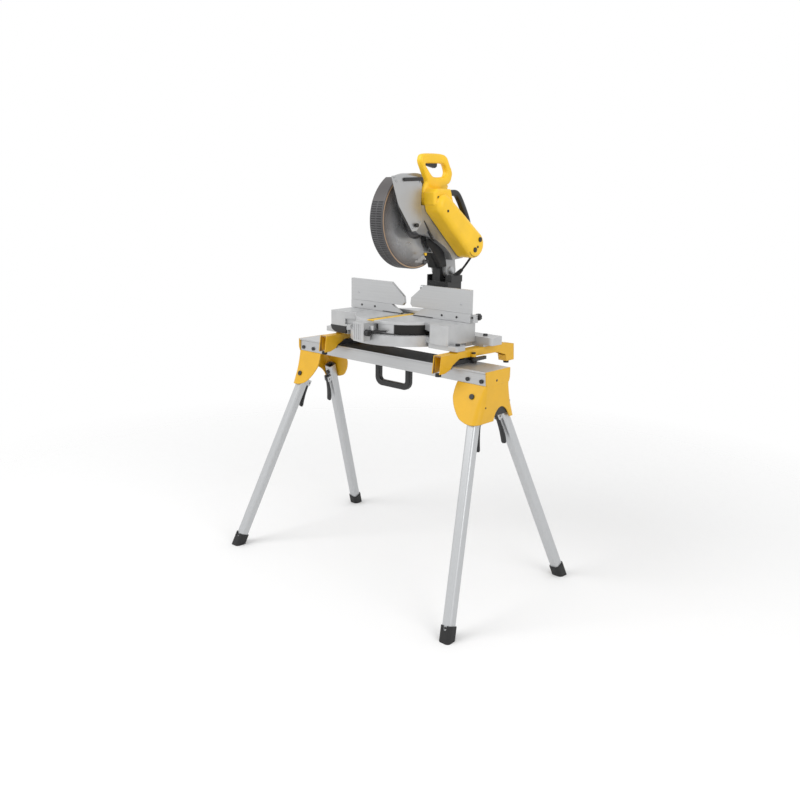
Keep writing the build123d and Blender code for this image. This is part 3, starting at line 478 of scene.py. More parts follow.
blackEdgeWearAndHighlight = (0.05, 0.05, 0.054)
finishTable = {
    # yellow paint: its dark brown area is painted shade inside the saw brackets
    "yellowPaint": (grainFinish, (0.72, 0.395, 0.006), dict(
        rough=0.42, grain=(500.0, 0.00006), edgeWearAndHighlight=(0.86, 0.56, 0.08), coat=0.08, edge=0.004,
        areas=[(bracketInsideShade, (0.26, 0.13, 0.03))])),
    "yellowMoulding": (grainFinish, (0.94, 0.57, 0.016), dict(
        rough=0.40, grain=(900.0, 0.00008), edgeWearAndHighlight=(0.93, 0.66, 0.10), edge=0.003)),
    "blackMoulding": (grainFinish, (0.011, 0.011, 0.012), dict(
        rough=0.42, grain=(1100.0, 0.0001), edgeWearAndHighlight=blackEdgeWearAndHighlight, mottle=0.15)),
    "blackCasting": (grainFinish, (0.012, 0.012, 0.013), dict(
        rough=0.38, grain=(700.0, 0.00012), edgeWearAndHighlight=blackEdgeWearAndHighlight)),
    "footRubber": (grainFinish, (0.007, 0.007, 0.0075), dict(
        rough=0.6, grain=(800.0, 0.0002), edgeWearAndHighlight=(0.04, 0.04, 0.04), mottle=0.2)),
    "beamMetal": (beamFinish, (0.49, 0.495, 0.50), {}),
    "tubeMetal": (drawnFinish, (0.51, 0.52, 0.53), dict(rough=0.34, along="z", edge=0.0)),
    "castMetal": (castFinish, (0.50, 0.505, 0.51), dict(rough=0.40)),
    "tableMetal": (castFinish, (0.52, 0.525, 0.53), dict(
        rough=0.36, areas=[(tableShadow, (0.02, 0.019, 0.018))])),
    # head casting: a darker copy of the cast metal as painted shade on the neck, with more painted shade along
    # the neck's front edge
    "headMetal": (castFinish, (0.40, 0.405, 0.41), dict(
        rough=0.40, areas=[(neckShade, (0.10, 0.10, 0.105))])),
    "fenceMetal": (drawnFinish, (0.50, 0.505, 0.51), dict(
        rough=0.36, along="x", areas=[(fenceFoot, (0.03, 0.03, 0.03))])),
    "plateSteel": (drawnFinish, (0.44, 0.445, 0.45), dict(rough=0.34, along="z", metallic=0.8)),
    "scaleSteel": (scaleFinish, (0.55, 0.555, 0.56), {}),
    "bladeSteel": (bladeFinish, (0.62, 0.625, 0.63), {}),
    "pinSteel": (drawnFinish, (0.46, 0.47, 0.48), dict(rough=0.28, along="x", metallic=0.95)),
    "copper": (drawnFinish, (0.55, 0.28, 0.12), dict(rough=0.35, along="x", metallic=0.9)),
    # guard rim: painted shade in the dips, the smooth top's own tone, and a painted reflection line on the side
    # edges
    "guardRim": (grainFinish, (0.060, 0.059, 0.063), dict(
        rough=0.35, grain=(600.0, 0.0001), edgeWearAndHighlight=(0.20, 0.19, 0.19), mottle=0.2,
        areas=[(guardDipShade, (0.008, 0.008, 0.009)), (guardTop, (0.075, 0.068, 0.068)),
               (guardEdgeReflection, (0.40, 0.26, 0.15))])),
    "guardClear": (clearFinish, (0.28, 0.28, 0.285), dict(rimColour=(0.125, 0.104, 0.092))),
}
finishes = {name: maker(name, colour, **more) for name, (maker, colour, more) in finishTable.items()}

# the solids' finishes; a star stands for the right and the left one
nodeFinish = {
    "yellowPaint": "housing_* bracket_*",
    "yellowMoulding": "motor_housing handle kerf_plates",
    "beamMetal": "beam",
    "tubeMetal": "leg_front_* leg_back_*",
    "footRubber": "foot_front_* foot_back_* bracket_bumpers drive_belt motor_lead dust_chute",
    "blackMoulding": "leg_lever_front_* leg_lever_back_* beam_handle beam_saddles clamp_lever_* fence_knob_* "
                     "mitre_knob detent_lever bevel_lever trigger carry_handle brush_caps spindle_lock",
    "blackCasting": "bevel_post guard_link stand_bolts mount_bolts",
    "castMetal": "saw_base",
    "tableMetal": "turntable",
    "headMetal": "head_casting",
    "fenceMetal": "fixed_fence fence_*",
    "plateSteel": "guard_plate",
    "scaleSteel": "detent_plate",
    "bladeSteel": "saw_blade",
    "pinSteel": "bevel_pin chop_pin lock_pin arbor_shaft arbor_bolt bearings return_spring",
    "copper": "stator armature",
    "guardRim": "lower_guard",
}
for finish, names in nodeFinish.items():
    for name in names.split():
        for node in sorted({name.replace("*", side) for side in ("right", "left")}):
            mesh = nodes[node].data
            mesh.materials.clear()
            mesh.materials.append(finishes[finish])
print("finishes on", len(nodes), "nodes")


# piece helpers: a grid of points becomes quads, its columns run round and its rows are closed or their ends
# capped; doubles are merged, slivers taken out and faces turned outwards. Edges past an angle stay sharp.
meshRule = {"merge": 1e-6, "sliver": 1e-7}
usualAngle, softAngle = 35.0, 40.0
blackPlastic, blackBolts = ("blackMoulding", "black_plastic"), ("blackCasting", "black_bolts")


def gridFaces(rows, cols, closed):
    i, j = np.meshgrid(np.arange(rows if closed else rows - 1), np.arange(cols), indexing="ij")
    nextRow, nextCol = (i + 1) % rows, (j + 1) % cols
    corners = (i * cols + j, nextRow * cols + j, nextRow * cols + nextCol, i * cols + nextCol)
    return np.stack(corners, -1).reshape(-1, 4)


def grid(spots, closed=False):
    return {"points": np.asarray(spots, float), "closed": closed}


def addPiece(name, grids, body, finish, slotName, sharp=usualAngle):
    verts, faces, start = [], [], 0
    for part in grids:
        rows, cols = part["points"].shape[:2]
        verts.append(part["points"].reshape(-1, 3))
        faces += (gridFaces(rows, cols, part["closed"]) + start).tolist()
        if not part["closed"]:
            faces.append(list(range(start, start + cols)))
            faces.append(list(range(start + (rows - 1) * cols, start + rows * cols)))
        start += rows * cols
    mesh = bpy.data.meshes.new(name)
    mesh.from_pydata((np.concatenate(verts) * mm).tolist(), [], faces)
    work = bmesh.new()
    work.from_mesh(mesh)
    bmesh.ops.remove_doubles(work, verts=work.verts, dist=meshRule["merge"])
    bmesh.ops.dissolve_degenerate(work, edges=work.edges, dist=meshRule["sliver"])
    bmesh.ops.recalc_face_normals(work, faces=work.faces)
    work.to_mesh(mesh)
    work.free()
    mesh.polygons.foreach_set("use_smooth", np.ones(len(mesh.polygons), bool))
    mesh.set_sharp_from_angle(angle=math.radians(sharp))
    mesh.materials.append(finishes[finish])
    obj = bpy.data.objects.new(name, mesh)
    bpy.context.scene.collection.objects.link(obj)
    if body:
        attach(obj, body)
    return obj


def unit(v):
    v = np.asarray(v, float)
    return v / np.linalg.norm(v, axis=-1, keepdims=True)


# an axis, after two directions square to it
def squareTo(axis):
    w = unit(axis)
    guess = np.array((0.0, 0.0, 1.0)) if abs(w[2]) < 0.9 else np.array((1.0, 0.0, 0.0))
    u = unit(np.cross(guess, w))
    return u, np.cross(w, u), w


# points from the x, y and z of each, spread to one shape
def points(*axes):
    return np.stack(np.broadcast_arrays(*axes), -1)


def fullTurn(steps):
    return np.linspace(0, 2 * np.pi, steps, endpoint=False)


# turned form: radius and height rows spun about an axis, the radius scaled by lobes(angle) per row where given
def turned(rows, place, axis, steps, lobes=None):
    u, v, w = squareTo(axis)
    radius, height = np.asarray(rows, float).T
    angle = fullTurn(steps)
    r = radius[:, None] * np.ones(steps) if lobes is None else radius[:, None] * lobes(angle)
    flat = np.cos(angle)[None, :, None] * u + np.sin(angle)[None, :, None] * v
    return grid(np.asarray(place, float) + r[..., None] * flat + height[:, None, None] * w)


# fastener heads: tip is the radius at a turned form's middle, sunk how far a head reaches into its face; a cap
# screw's rows are shares of its radius and height: socket floor, socket wall, rim, dome and side
tip, sunk = 0.001, -0.6
screwForm = {"socket": [(0.0, 0.35), (0.52, 0.35), (0.52, 1.0)],
             "head": [(0.62, 1.0), (0.84, 0.93), (0.97, 0.66), (1.0, 0.3)], "steps": 24}
rivetForm = {"rows": 7, "fall": 0.75, "steps": 20}


# cap screw: domed head with a six-sided socket, whose rows keep a hexagon's radius, 1 / cos of the angle off
# its flat
def capScrew(place, axis, r, tall):
    def lobes(angle):
        flat = (angle + np.pi / 6) % (np.pi / 3) - np.pi / 6
        hexagon = np.cos(np.pi / 6) / np.cos(flat)
        sockets = len(screwForm["socket"])
        return np.stack([hexagon] * sockets + [np.ones_like(angle)] * (len(rows) - sockets))
    shares = screwForm["socket"] + screwForm["head"]
    rows = [(max(r * out, tip), tall * up) for out, up in shares] + [(r, sunk)]
    return turned(rows, place, axis, screwForm["steps"], lobes)


# rivet: a low dome, height falling with the square of the radius, on a short collar
def rivet(place, axis, r, tall):
    share = np.linspace(0.001, 1, rivetForm["rows"])
    rows = np.stack([r * share, tall * (1 - rivetForm["fall"] * share ** 2)], 1)
    return turned(np.concatenate([rows, [(r, sunk)]]), place, axis, rivetForm["steps"])


# rounded rectangle: a quarter circle at each corner, counted round once
def roundBox(wide, tall, r, steps=5):
    turn = np.linspace(0, np.pi / 2, steps)[None, :] + np.arange(4)[:, None] * np.pi / 2
    sx = np.array((1, -1, -1, 1))[:, None] * (wide / 2 - r)
    sy = np.array((1, 1, -1, -1))[:, None] * (tall / 2 - r)
    return np.stack([sx + r * np.cos(turn), sy + r * np.sin(turn)], -1).reshape(-1, 2)


def roundLoop(r, steps):
    turn = fullTurn(steps)
    return np.stack([np.cos(turn), np.sin(turn)], 1) * r


# smooth line through points: each span is a cubic whose end slopes follow the neighbouring points
def smoothLine(stations, per=8, closed=False):
    p = np.asarray(stations, float)
    ext = np.concatenate([p[-1:], p, p[:2]] if closed else [[2 * p[0] - p[1]], p, [2 * p[-1] - p[-2]]])
    t = np.linspace(0, 1, per, endpoint=False)[None, :, None]
    a, b, c, d = (ext[k:len(ext) - 3 + k][:, None, :] for k in range(4))
    curve = 0.5 * (2 * b + (c - a) * t + (2 * a - 5 * b + 4 * c - d) * t ** 2
                   + (3 * b - a - 3 * c + d) * t ** 3)
    curve = curve.reshape(-1, p.shape[1])
    return curve if closed else np.concatenate([curve, p[-1:]])


# a line of y and z, set at one x
def atX(x, line):
    return np.column_stack([np.full(len(line), x), line])


# swept form: a loop carried along a path, its first axis on the given side direction, its second square to
# path and side
def swept(loop, path, side, scale=None):
    path = np.asarray(path, float)
    run = unit(np.gradient(path, axis=0))
    side = unit(np.broadcast_to(np.asarray(side, float), path.shape))
    side = unit(side - run * (side * run).sum(-1, keepdims=True))
    lift = np.cross(run, side)
    scale = np.ones((len(path), 2)) if scale is None else np.asarray(scale, float)
    across = loop[None, :, 0, None] * scale[:, None, 0, None] * side[:, None, :]
    upward = loop[None, :, 1, None] * scale[:, None, 1, None] * lift[:, None, :]
    return grid(path[:, None, :] + across + upward)


# a swept form's scale that thins its second axis towards both ends, as a sine that starts past 0
def thinEnds(count, start):
    return np.column_stack([np.ones(count), np.sin(np.linspace(start, np.pi - start, count))])


# lower guard: a U section carried round the arbor; along the rim the radius dips in waves, cut flat at their
# crests and feet, to make the ribs
guardForm = {"r": 170.0, "half": 30.0, "wall": 3.0, "low": -112.0, "top": 57.0, "inner": 58.0, "lap": 0.5,
             "ribEnd": 22.0, "ribPitch": 8.0, "ribDepth": 1.7, "ribCut": (1.8, 0.4), "ribSteps": 6,
             "topSteps": 24, "wallSteps": 90, "rimDeep": 9.0, "hubIn": 50.3, "hubOut": 66.0, "hubSteps": 72,
             "hubEdge": (0.6, 0.8), "knobR": 157.0, "knobTurn": -107.5, "knobSteps": 24, "sharp": 28.0,
             "knob": [(tip, 9), (5.5, 9), (7.4, 7.8), (8, 6), (8, 2), (6.5, 0.5), (6.5, sunk)]}


def aboutArbor(x, r, angle):
    _, y, z = arborAt
    return points(x, y - r * np.cos(angle), z + r * np.sin(angle))


def makeGuard():
    g = guardForm
    low, top, ribEnd = (math.radians(g[key]) for key in ("low", "top", "ribEnd"))
    count = int((ribEnd - low) * g["r"] / g["ribPitch"])
    ribbed = np.linspace(low, ribEnd, count * g["ribSteps"], endpoint=False)
    angle = np.concatenate([ribbed, np.linspace(ribEnd, top, g["topSteps"])])
    wave = 0.5 - 0.5 * np.cos((angle - low) / (ribEnd - low) * count * 2 * np.pi)
    gain, cut = g["ribCut"]
    dip = np.where(angle < ribEnd, g["ribDepth"] * np.clip(wave * gain - cut, 0, 1), 0.0)
    h, w, r, inner = g["half"], g["wall"], g["r"], g["r"] - g["rimDeep"]
    # each point of the section is x, radius and its share of the dip; the other half mirrors it
    outside = [(-h, inner, 0), (-h, r - 3, 0), (-h + 1, r - 0.9, 0), (-h + 3, r, 0), (-h + 4, r, 0),
               (-h + 6, r, 1), (-2.5, r, 1), (-1.5, r, 0)]
    inside = [(-h + w, r - 4, 0), (-h + w, inner, 0)]
    mirrored = np.array(inside + outside)[::-1] * (-1, 1, 1)
    section = np.concatenate([outside, mirrored, inside])
    radius = section[None, :, 1] - section[None, :, 2] * dip[:, None]
    rim = grid(aboutArbor(section[None, :, 0], radius, angle[:, None]))
    knob = turned(g["knob"], aboutArbor(h, g["knobR"], math.radians(g["knobTurn"])), toRight, g["knobSteps"])
    obj = addPiece("guardRim", [rim, knob], "lower_guard", "guardRim", "guard_plastic", g["sharp"])
    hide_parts("lower_guard")
    turn = np.linspace(low, top, g["wallSteps"])
    walls = []
    for x0, x1 in ((-h, -h + w), (h - w, h)):
        out = inner + g["lap"]
        loop = np.array([(x0, g["inner"]), (x0, out), (x1, out), (x1, g["inner"])])
        walls.append(grid(aboutArbor(loop[None, :, 0], loop[None, :, 1], turn[:, None])))
    addPiece("guardWalls", walls, "lower_guard", "guardClear", "guard_plastic", g["sharp"])
    back, face = g["hubEdge"]
    near, far = g["hubIn"], g["hubOut"]
    loop = np.array([(h - w, near), (h - w, far), (h - back, far), (h, far - face), (h, near + face),
                     (h - back, near)])
    hub = grid(aboutArbor(loop[None, :, 0], loop[None, :, 1], fullTurn(g["hubSteps"])[:, None]), closed=True)
    addPiece("guardHub", [hub], "lower_guard", "guardRim", "guard_plastic", g["sharp"])


makeGuard()
print("guard done")


# motor lead: the route's spline with a round section along it, from the motor down into the post's sleeve
leadRoute = {"points": [(100.0, 294.6, 1134.0), (89.0, 291.5, 1117.0), (76.0, 288.0, 1098.5),
                        (66.0, 285.6, 1086.0), (57.0, 284.2, 1077.0)],
             "d": 8.0, "side": (0.6, -0.8, 0), "sides": 20, "order": 3, "perSpan": 12}


def makeLead():
    f = leadRoute
    line = bpy.data.curves.new("leadLine", "CURVE")
    line.dimensions = "3D"
    line.resolution_u = f["perSpan"]
    spline = line.splines.new("NURBS")
    spline.points.add(len(f["points"]) - 1)
    for spot, place in zip(spline.points, f["points"]):
        spot.co = (*[c * mm for c in place], 1)
    spline.order_u = f["order"]
    spline.use_endpoint_u = True
    carrier = bpy.data.objects.new("leadLine", line)
    bpy.context.scene.collection.objects.link(carrier)
    bpy.context.view_layer.update()
    flat = bpy.data.meshes.new_from_object(carrier)
    path = np.array([v.co for v in flat.vertices], float)
    bpy.data.objects.remove(carrier)
    bpy.data.curves.remove(line)
    bpy.data.meshes.remove(flat)
    tube = swept(roundLoop(f["d"] / 2, f["sides"]), path / mm, f["side"])
    obj = addPiece("motorLead", [tube], None, "footRubber", "foot_rubber")
    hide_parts("motor_lead")
    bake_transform(obj)


makeLead()


# carry handle: a round-edged bar along a smooth line over the motor
carryForm = {"x": 91.0, "wide": 24.0, "thick": 21.0, "r": 8.0,
             "line": [(150, 1357), (178, 1361), (203, 1360), (222, 1344), (250, 1304), (272, 1266), (279, 1240),
                      (277, 1222)]}


def makeCarryHandle():
    f = carryForm
    loop = roundBox(f["wide"], f["thick"], f["r"])
    bar = swept(loop, atX(f["x"], smoothLine(f["line"])), toRight)
    obj = addPiece("carryBar", [bar], "head", *blackPlastic, softAngle)
    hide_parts("carry_handle")


makeCarryHandle()


# D handle: a ring between an outer and an inner closed line, its section a rounded square; each row pairs a
# point of one line with a point of the other, and powers of the cosine and sine fill the section's corners.
# The neck's rows are height, middle and length.
gripForm = {"x": 50.0, "half": 13.4, "square": 0.62, "steps": 28, "sharp": 50.0,
            "outer": [(51, 1474), (62, 1489), (110, 1493), (165, 1492), (189, 1483), (202, 1463), (219, 1436),
                      (221, 1420), (206, 1393), (150, 1374), (98, 1378), (85, 1404), (66, 1436), (53, 1459)],
            "inner": [(75, 1455), (84, 1458), (118, 1459), (162, 1460), (177, 1457), (185, 1446), (189, 1433),
                      (186, 1422), (176, 1416), (150, 1414), (122, 1415), (104, 1425), (87, 1440), (77, 1449)],
            "neckX": 49.2, "neckWide": 24.4, "neckRound": 0.3, "neckSteps": 6,
            "neck": [(1322, 130, 90), (1328, 128, 106), (1340, 128, 116), (1356, 131, 120), (1368, 138, 118),
                     (1380, 146, 112), (1398, 150, 112)]}


def makeGrip():
    g = gripForm
    outer, inner = (smoothLine(g[key], closed=True) for key in ("outer", "inner"))
    out, wide = (np.sign(side) * np.abs(side) ** g["square"] for side in roundLoop(1, g["steps"]).T)
    middle, reach = (outer + inner) / 2, (outer - inner) / 2
    yz = middle[:, None, :] + reach[:, None, :] * out[None, :, None]
    x = np.broadcast_to(g["x"] + g["half"] * wide, yz.shape[:2])
    ring = grid(np.concatenate([x[..., None], yz], -1), closed=True)
    z, y, long = np.array(g["neck"], float).T
    size = np.column_stack([np.full(len(z), g["neckWide"]), long])
    loop = roundBox(1, 1, g["neckRound"], g["neckSteps"])
    neck = swept(loop, atX(g["neckX"], np.column_stack([y, z])), toRight, size)
    obj = addPiece("gripRing", [ring, neck], "head", "yellowMoulding", "yellow_plastic", g["sharp"])
    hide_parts("handle")


makeGrip()


# edge strips: a rounded black section along the neck's front edge, where a dark line runs between guard and
# neck, and along the lower edge of the side plate, as painted shadow of the gap between plate and guard; both
# thinner towards both ends as a sine
edgeForms = {"neckEdge": {"x": 58.4, "wide": 7.0, "thick": 9.0, "round": 3.0,
                          "line": [(72, 1266), (88, 1245), (101, 1228), (114, 1211), (126, 1196)]},
             "plateEdge": {"x": 60.0, "wide": 4.0, "thick": 9.5, "round": 1.4,
                           "line": [(-68, 1319), (-55, 1302), (-31, 1272), (-13, 1249), (4, 1228)]}}
edgeStart = 0.5


def makeEdge(name, form):
    path = atX(form["x"], smoothLine(form["line"]))
    loop = roundBox(form["wide"], form["thick"], form["round"])
    strip = swept(loop, path, toRight, thinEnds(len(path), edgeStart))
    addPiece(name, [strip], "head", *blackPlastic, softAngle)


for name, form in edgeForms.items():
    makeEdge(name, form)


# guard stop: a black peg and a yellow tab at the lower rear end of the guard, each a rounded box along a line
pegForms = {"guardPeg": {"from": (14.0, 127.0, 1121.0), "to": (33.0, 127.0, 1121.0), "size": 13.0,
                         "looks": blackPlastic},
            "guardTab": {"from": (22.0, 118.0, 1147.0), "to": (32.5, 118.0, 1147.0), "size": 10.0,
                         "looks": ("yellowMoulding", "yellow_plastic")}}
pegRule = {"round": 0.42, "steps": 5}


def makeStop(name, form):
    size = form["size"]
    path = np.linspace(form["from"], form["to"], pegRule["steps"])
    bar = swept(roundBox(size, size, size * pegRule["round"]), path, (0, 1, 0))
    addPiece(name, [bar], "lower_guard", *form["looks"], softAngle)


for name, form in pegForms.items():
    makeStop(name, form)
print("handles and lead done")


# legs: each one's own axes, inward across the tube, sideways and down the run, as the solids have them
legForm = {"footX": 534.0, "footY": 327.5, "splayX": 0.1767, "splayY": 0.3878, "beamBottom": 758.5,
           "drop": {"right": 48.0, "left": 93.0}, "tubeHalf": 17.5, "capHigh": 46.0, "rivetDown": 7.0,
           "rivet": (4.2, 2.6)}


def legAxes(side, end):
    f = legForm
    sx, sy = (1 if side == "right" else -1), (-1 if end == "front" else 1)
    z = f["beamBottom"] - f["drop"][side]
    pivot = np.array((sx * (f["footX"] - f["splayX"] * z), sy * (f["footY"] - f["splayY"] * z), z))
    run = unit((sx * f["splayX"], sy * f["splayY"], -1))
    tilt = math.atan(f["splayY"])
    inward = np.array((0, -sy * math.cos(tilt), -math.sin(tilt)))
    length = z * math.sqrt(1 + f["splayX"] ** 2 + f["splayY"] ** 2)
    return pivot, inward, np.cross(run, inward), run, length


# lever: a round-edged strip along a bent line, thick at its hinge, thin in the middle and swelling to a thumb
# end, with a short pin through the hinge
leverForm = {"line": [(-1, -8), (1, 2), (2.5, 24), (3.5, 50), (7, 76), (11.5, 93), (12.5, 99)],
             "wide": [11, 14, 14, 17, 19, 18, 14], "thick": [8, 10.5, 9, 9.5, 11, 11, 7], "perSpan": 7,
             "round": 0.32, "along": {"right": 72.0, "left": 26.0}, "in": 28.0,
             "pin": [(tip, -12), (3, -12), (3, 12), (tip, 12)], "pinSteps": 16}


def makeLeg(side, end):
    pivot, inward, across, run, length = legAxes(side, end)
    f, along = leverForm, leverForm["along"][side]
    line = smoothLine(f["line"], f["perSpan"])
    size = smoothLine(np.column_stack([f["wide"], f["thick"]]), f["perSpan"])
    x, z = f["in"] + line[:, 0], along + line[:, 1]
    path = pivot + x[:, None] * inward + z[:, None] * run
    strip = swept(roundBox(1, 1, f["round"]), path, across, size)
    hinge = turned(f["pin"], pivot + f["in"] * inward + along * run, across, f["pinSteps"])
    name = end + side.capitalize()
    lever = addPiece("lever_" + name, [strip, hinge], f"lever_{end}_{side}", *blackPlastic, softAngle)
    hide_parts(f"leg_lever_{end}_{side}")
    out = pivot - legForm["tubeHalf"] * inward
    down = length - legForm["capHigh"] + legForm["rivetDown"]
    head = rivet(out + down * run, -inward, *legForm["rivet"])
    addPiece("legRivet_" + name, [head], f"leg_{end}_{side}", *blackBolts)


for side in ("right", "left"):
    for end in ("front", "back"):
        makeLeg(side, end)
print("legs done")


# fasteners: groups of heads, each with its place, its face's outward direction, its radius and its height
motorScrews = [((112, 84, 1345), toRight, 4.5, 2.5), ((134, 112, 1300), toRight, 4.5, 2.2),
               ((134, 288, 1172), toRight, 4.5, 2.2)]
plateScrews = [((61.8, -74, 1396), toRight, 4.0, 2.4), ((61.8, -84, 1408), toRight, 3.2, 2.0),
               ((61.8, 12, 1243), toRight, 4.5, 2.6), ((61.8, 48, 1262), toRight, 4.5, 2.6),
               ((61.8, 44, 1396), toRight, 3.5, 2.2)]
fenceScrews = [((x, 58.0, 947), toFront, 4.2, 1.6) for x in (-230, -162, 162, 228)]
slideScrews = {"fence_right": 246, "fence_left": -246}
# dark domes where the housing covers have small holes: they stand in for the shade inside the holes
coverHoleShade = [((454, -7, 771), toRight, 4.0, 1.6), ((454, -62, 688), toRight, 3.2, 1.4),
               ((-454, -7, 771), toLeft, 4.0, 1.6), ((-454, 62, 700), toLeft, 3.2, 1.4)]
addPiece("motorScrews", [capScrew(*s) for s in motorScrews], "head", *blackBolts)
addPiece("plateScrews", [capScrew(*s) for s in plateScrews], "head", "pinSteel", "pin_steel")
addPiece("fenceScrews", [capScrew(*s) for s in fenceScrews], "saw_mount", *blackBolts)
for body, x in slideScrews.items():
    addPiece(body + "Screw", [capScrew((x, 58.0, 994), toFront, 3.6, 1.4)], body, "pinSteel", "pin_steel")
addPiece("coverHoleShade", [rivet(*s) for s in coverHoleShade], "stand", *blackBolts)
print("fasteners done")


# leg housing: a bent sheet. Along it, a path runs over the front lobe, round a bend, across the end and back
# over the other lobe; down it, the height runs between a top and a bottom line. The lobes lean out with the
# legs, and the bend's radius grows downwards as a power. The bottom line is the lobe's round, then level, then
# an arch. Above the sheet a flat plate widens and covers the beam's end.
housingForm = {"end": 454.0, "thick": 4.0, "side": 61.8, "lean": 0.3878, "top": 758.3, "coverTop": 804.5,
               "coverHalf": 66.0, "widen": 14.0, "edge": 1.0, "low": 636.0, "start": 331.0,
               "bend": {"from": 4.0, "to": 26.0, "over": 70.0, "power": 0.7, "least": 0.2},
               "upper": [(331.0, 730.0), (331.6, 742.0), (334.0, 758.3)],
               "lower": [(331.0, 726.0), (333.5, 705.0), (350.0, 675.0), (376.0, 648.0), (404.0, 636.5),
                         (428.0, 633.5)],
               "arch": {"middle": 27.0, "half": 42.0, "tall": 43.0, "drop": 110.0},
               "steps": {"line": 12, "lobe": 34, "bend": 13, "cover": 121, "down": 16, "plate": 9}}


def makeHousing(side):
    h, bow, arch, steps = (housingForm, *(housingForm[key] for key in ("bend", "arch", "steps")))
    sign = 1 if side == "right" else -1
    upper, lower = smoothLine(h["upper"], steps["line"]), smoothLine(h["lower"], steps["line"])
    lobeLong = lower[-1, 0] - h["start"]
    lobeX = h["start"] + lobeLong * (1 - np.cos(np.linspace(0, np.pi / 2, steps["lobe"])))
    lobeTop = np.interp(lobeX, upper[:, 0], upper[:, 1])
    lobeLow = np.interp(lobeX, lower[:, 0], lower[:, 1])
    bend = np.linspace(0, np.pi / 2, steps["bend"])[1:-1]
    across = np.linspace(-1, 1, steps["cover"])
    away = (across * (h["side"] + h["lean"] * arch["drop"] - bow["to"]) - arch["middle"]) / arch["half"]
    coverLow = h["low"] + arch["tall"] * np.sqrt(np.clip(1 - away ** 2, 0, 1))
    bendLow = np.linspace(lobeLow[-1], h["low"], steps["bend"])[1:-1]
    t = np.linspace(0, 1, steps["down"])

    def at(low, top):
        z = top[:, None] + (low - top)[:, None] * t
        drop = h["top"] - z
        radius = bow["from"] + (bow["to"] - bow["from"]) * np.clip(drop / bow["over"], 0, 1) ** bow["power"]
        return z, h["side"] + h["lean"] * drop, radius

    def wall(inset):
        z, y, radius = at(lobeLow, lobeTop)
        reach = (lobeX[:, None] - h["start"]) / lobeLong
        front = points(h["start"] + (h["end"] - radius - h["start"]) * reach, -(y - inset), z)
        z, y, radius = at(bendLow, np.full(len(bend), h["top"]))
        inner = np.maximum(radius - inset, bow["least"])
        corner = points(h["end"] - radius + inner * np.sin(bend)[:, None],
                        -(y - radius + inner * np.cos(bend)[:, None]), z)
        z, y, radius = at(coverLow, np.full(len(across), h["top"]))
        cover = points(h["end"] - inset, across[:, None] * (y - radius), z)
        back = np.concatenate([corner[::-1], front[::-1]]) * (1, -1, 1)
        return np.concatenate([front, corner, cover, back])

    sheet = np.concatenate([wall(0.0), wall(h["thick"])[:, ::-1]], 1) * (sign, 1, 1)
    out, back, full, top, edge = h["end"], h["end"] - h["thick"], h["coverHalf"], h["coverTop"], h["edge"]
    loop = np.array([(out, h["top"], h["side"]), (out, h["top"] + h["widen"], full), (out, top - edge, full),
                     (out - edge, top, full), (back, top, full), (back, h["top"], h["side"])])
    share = np.linspace(-1, 1, steps["plate"])[:, None]
    plate = points(loop[:, 0] * sign, share * loop[:, 2], loop[:, 1])
    obj = addPiece("housingSheet_" + side, [grid(sheet), grid(plate)], "stand", "yellowPaint", "yellow_steel",
                   softAngle)
    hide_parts("housing_" + side)


for side in ("right", "left"):
    makeHousing(side)


# behind the right housing's arch a flat black plate, painted shade for the dark space inside the housing
archShadeForm = {"x": (446.0, 449.0), "y": (-28.0, 80.0), "z": (650.0, 692.0), "steps": 12}


def makeArchShade():
    x0, x1 = archShadeForm["x"]
    low, high = archShadeForm["z"]
    loop = np.array([(x1, low), (x1, high), (x0, high), (x0, low)])
    y = np.linspace(*archShadeForm["y"], archShadeForm["steps"])[:, None]
    liner = points(loop[:, 0], y, loop[:, 1])
    addPiece("archShadePlate", [grid(liner)], "stand", *blackPlastic)


makeArchShade()


# mitre arm: upright round ribs, half sunk in its front
armForm = {"y": -196.0, "z": (872.0, 924.0), "xs": (-14.0, -4.0, 6.0, 14.0), "r": 2.4, "sides": 12, "steps": 7}


def makeArmRibs():
    f = armForm
    loop = roundLoop(f["r"], f["sides"])
    z = np.linspace(*f["z"], f["steps"])
    line = np.column_stack([np.full(len(z), f["y"]), z])
    ribs = [swept(loop, atX(x, line), toRight) for x in f["xs"]]
    addPiece("armRibs", ribs, "turntable", "castMetal", "cast_metal")


makeArmRibs()


# under the left wing: a dark plate whose lower edge falls away in a quarter ellipse
underWingForm = {"x": (-280.0, -200.0), "top": 879.0, "lip": 3.0, "low": 852.0, "y": (-57.6, -50.0), "curve": 0.45,
              "edge": 1.0, "steps": 24}


def makeUnderWing():
    f = underWingForm
    (left, right), (front, back), top, edge = f["x"], f["y"], f["top"], f["edge"]
    s = np.linspace(0, 1, f["steps"])
    x = left + (right - left) * s
    fall = np.sqrt(np.clip(1 - (1 - np.clip(s / f["curve"], 0, 1)) ** 2, 0, 1))
    low = top - f["lip"] - (top - f["lip"] - f["low"]) * fall
    corners = [(front + edge, top), (front, top - edge), (front, low + edge), (front + edge, low), (back, low),
               (back, top)]
    loop = np.stack([points(x, y, z) for y, z in corners], 1)
    addPiece("darkUnderWing", [grid(loop)], "saw_mount", *blackPlastic)


makeUnderWing()


# wing stop: a flat wall that closes the left wing where the mitre arm's travel ends
stopForm = {"from": (-174.0, -27.0, 895.0), "to": (-228.0, -53.0, 895.0), "side": (0.44, -0.898, 0.0),
            "wide": 4.0, "tall": 54.0, "round": 0.8, "steps": 6}


def makeWingStop():
    f = stopForm
    path = np.linspace(f["from"], f["to"], f["steps"])
    wall = swept(roundBox(f["wide"], f["tall"], f["round"]), path, f["side"])
    addPiece("wingStop", [wall], "saw_mount", "castMetal", "cast_metal")


makeWingStop()


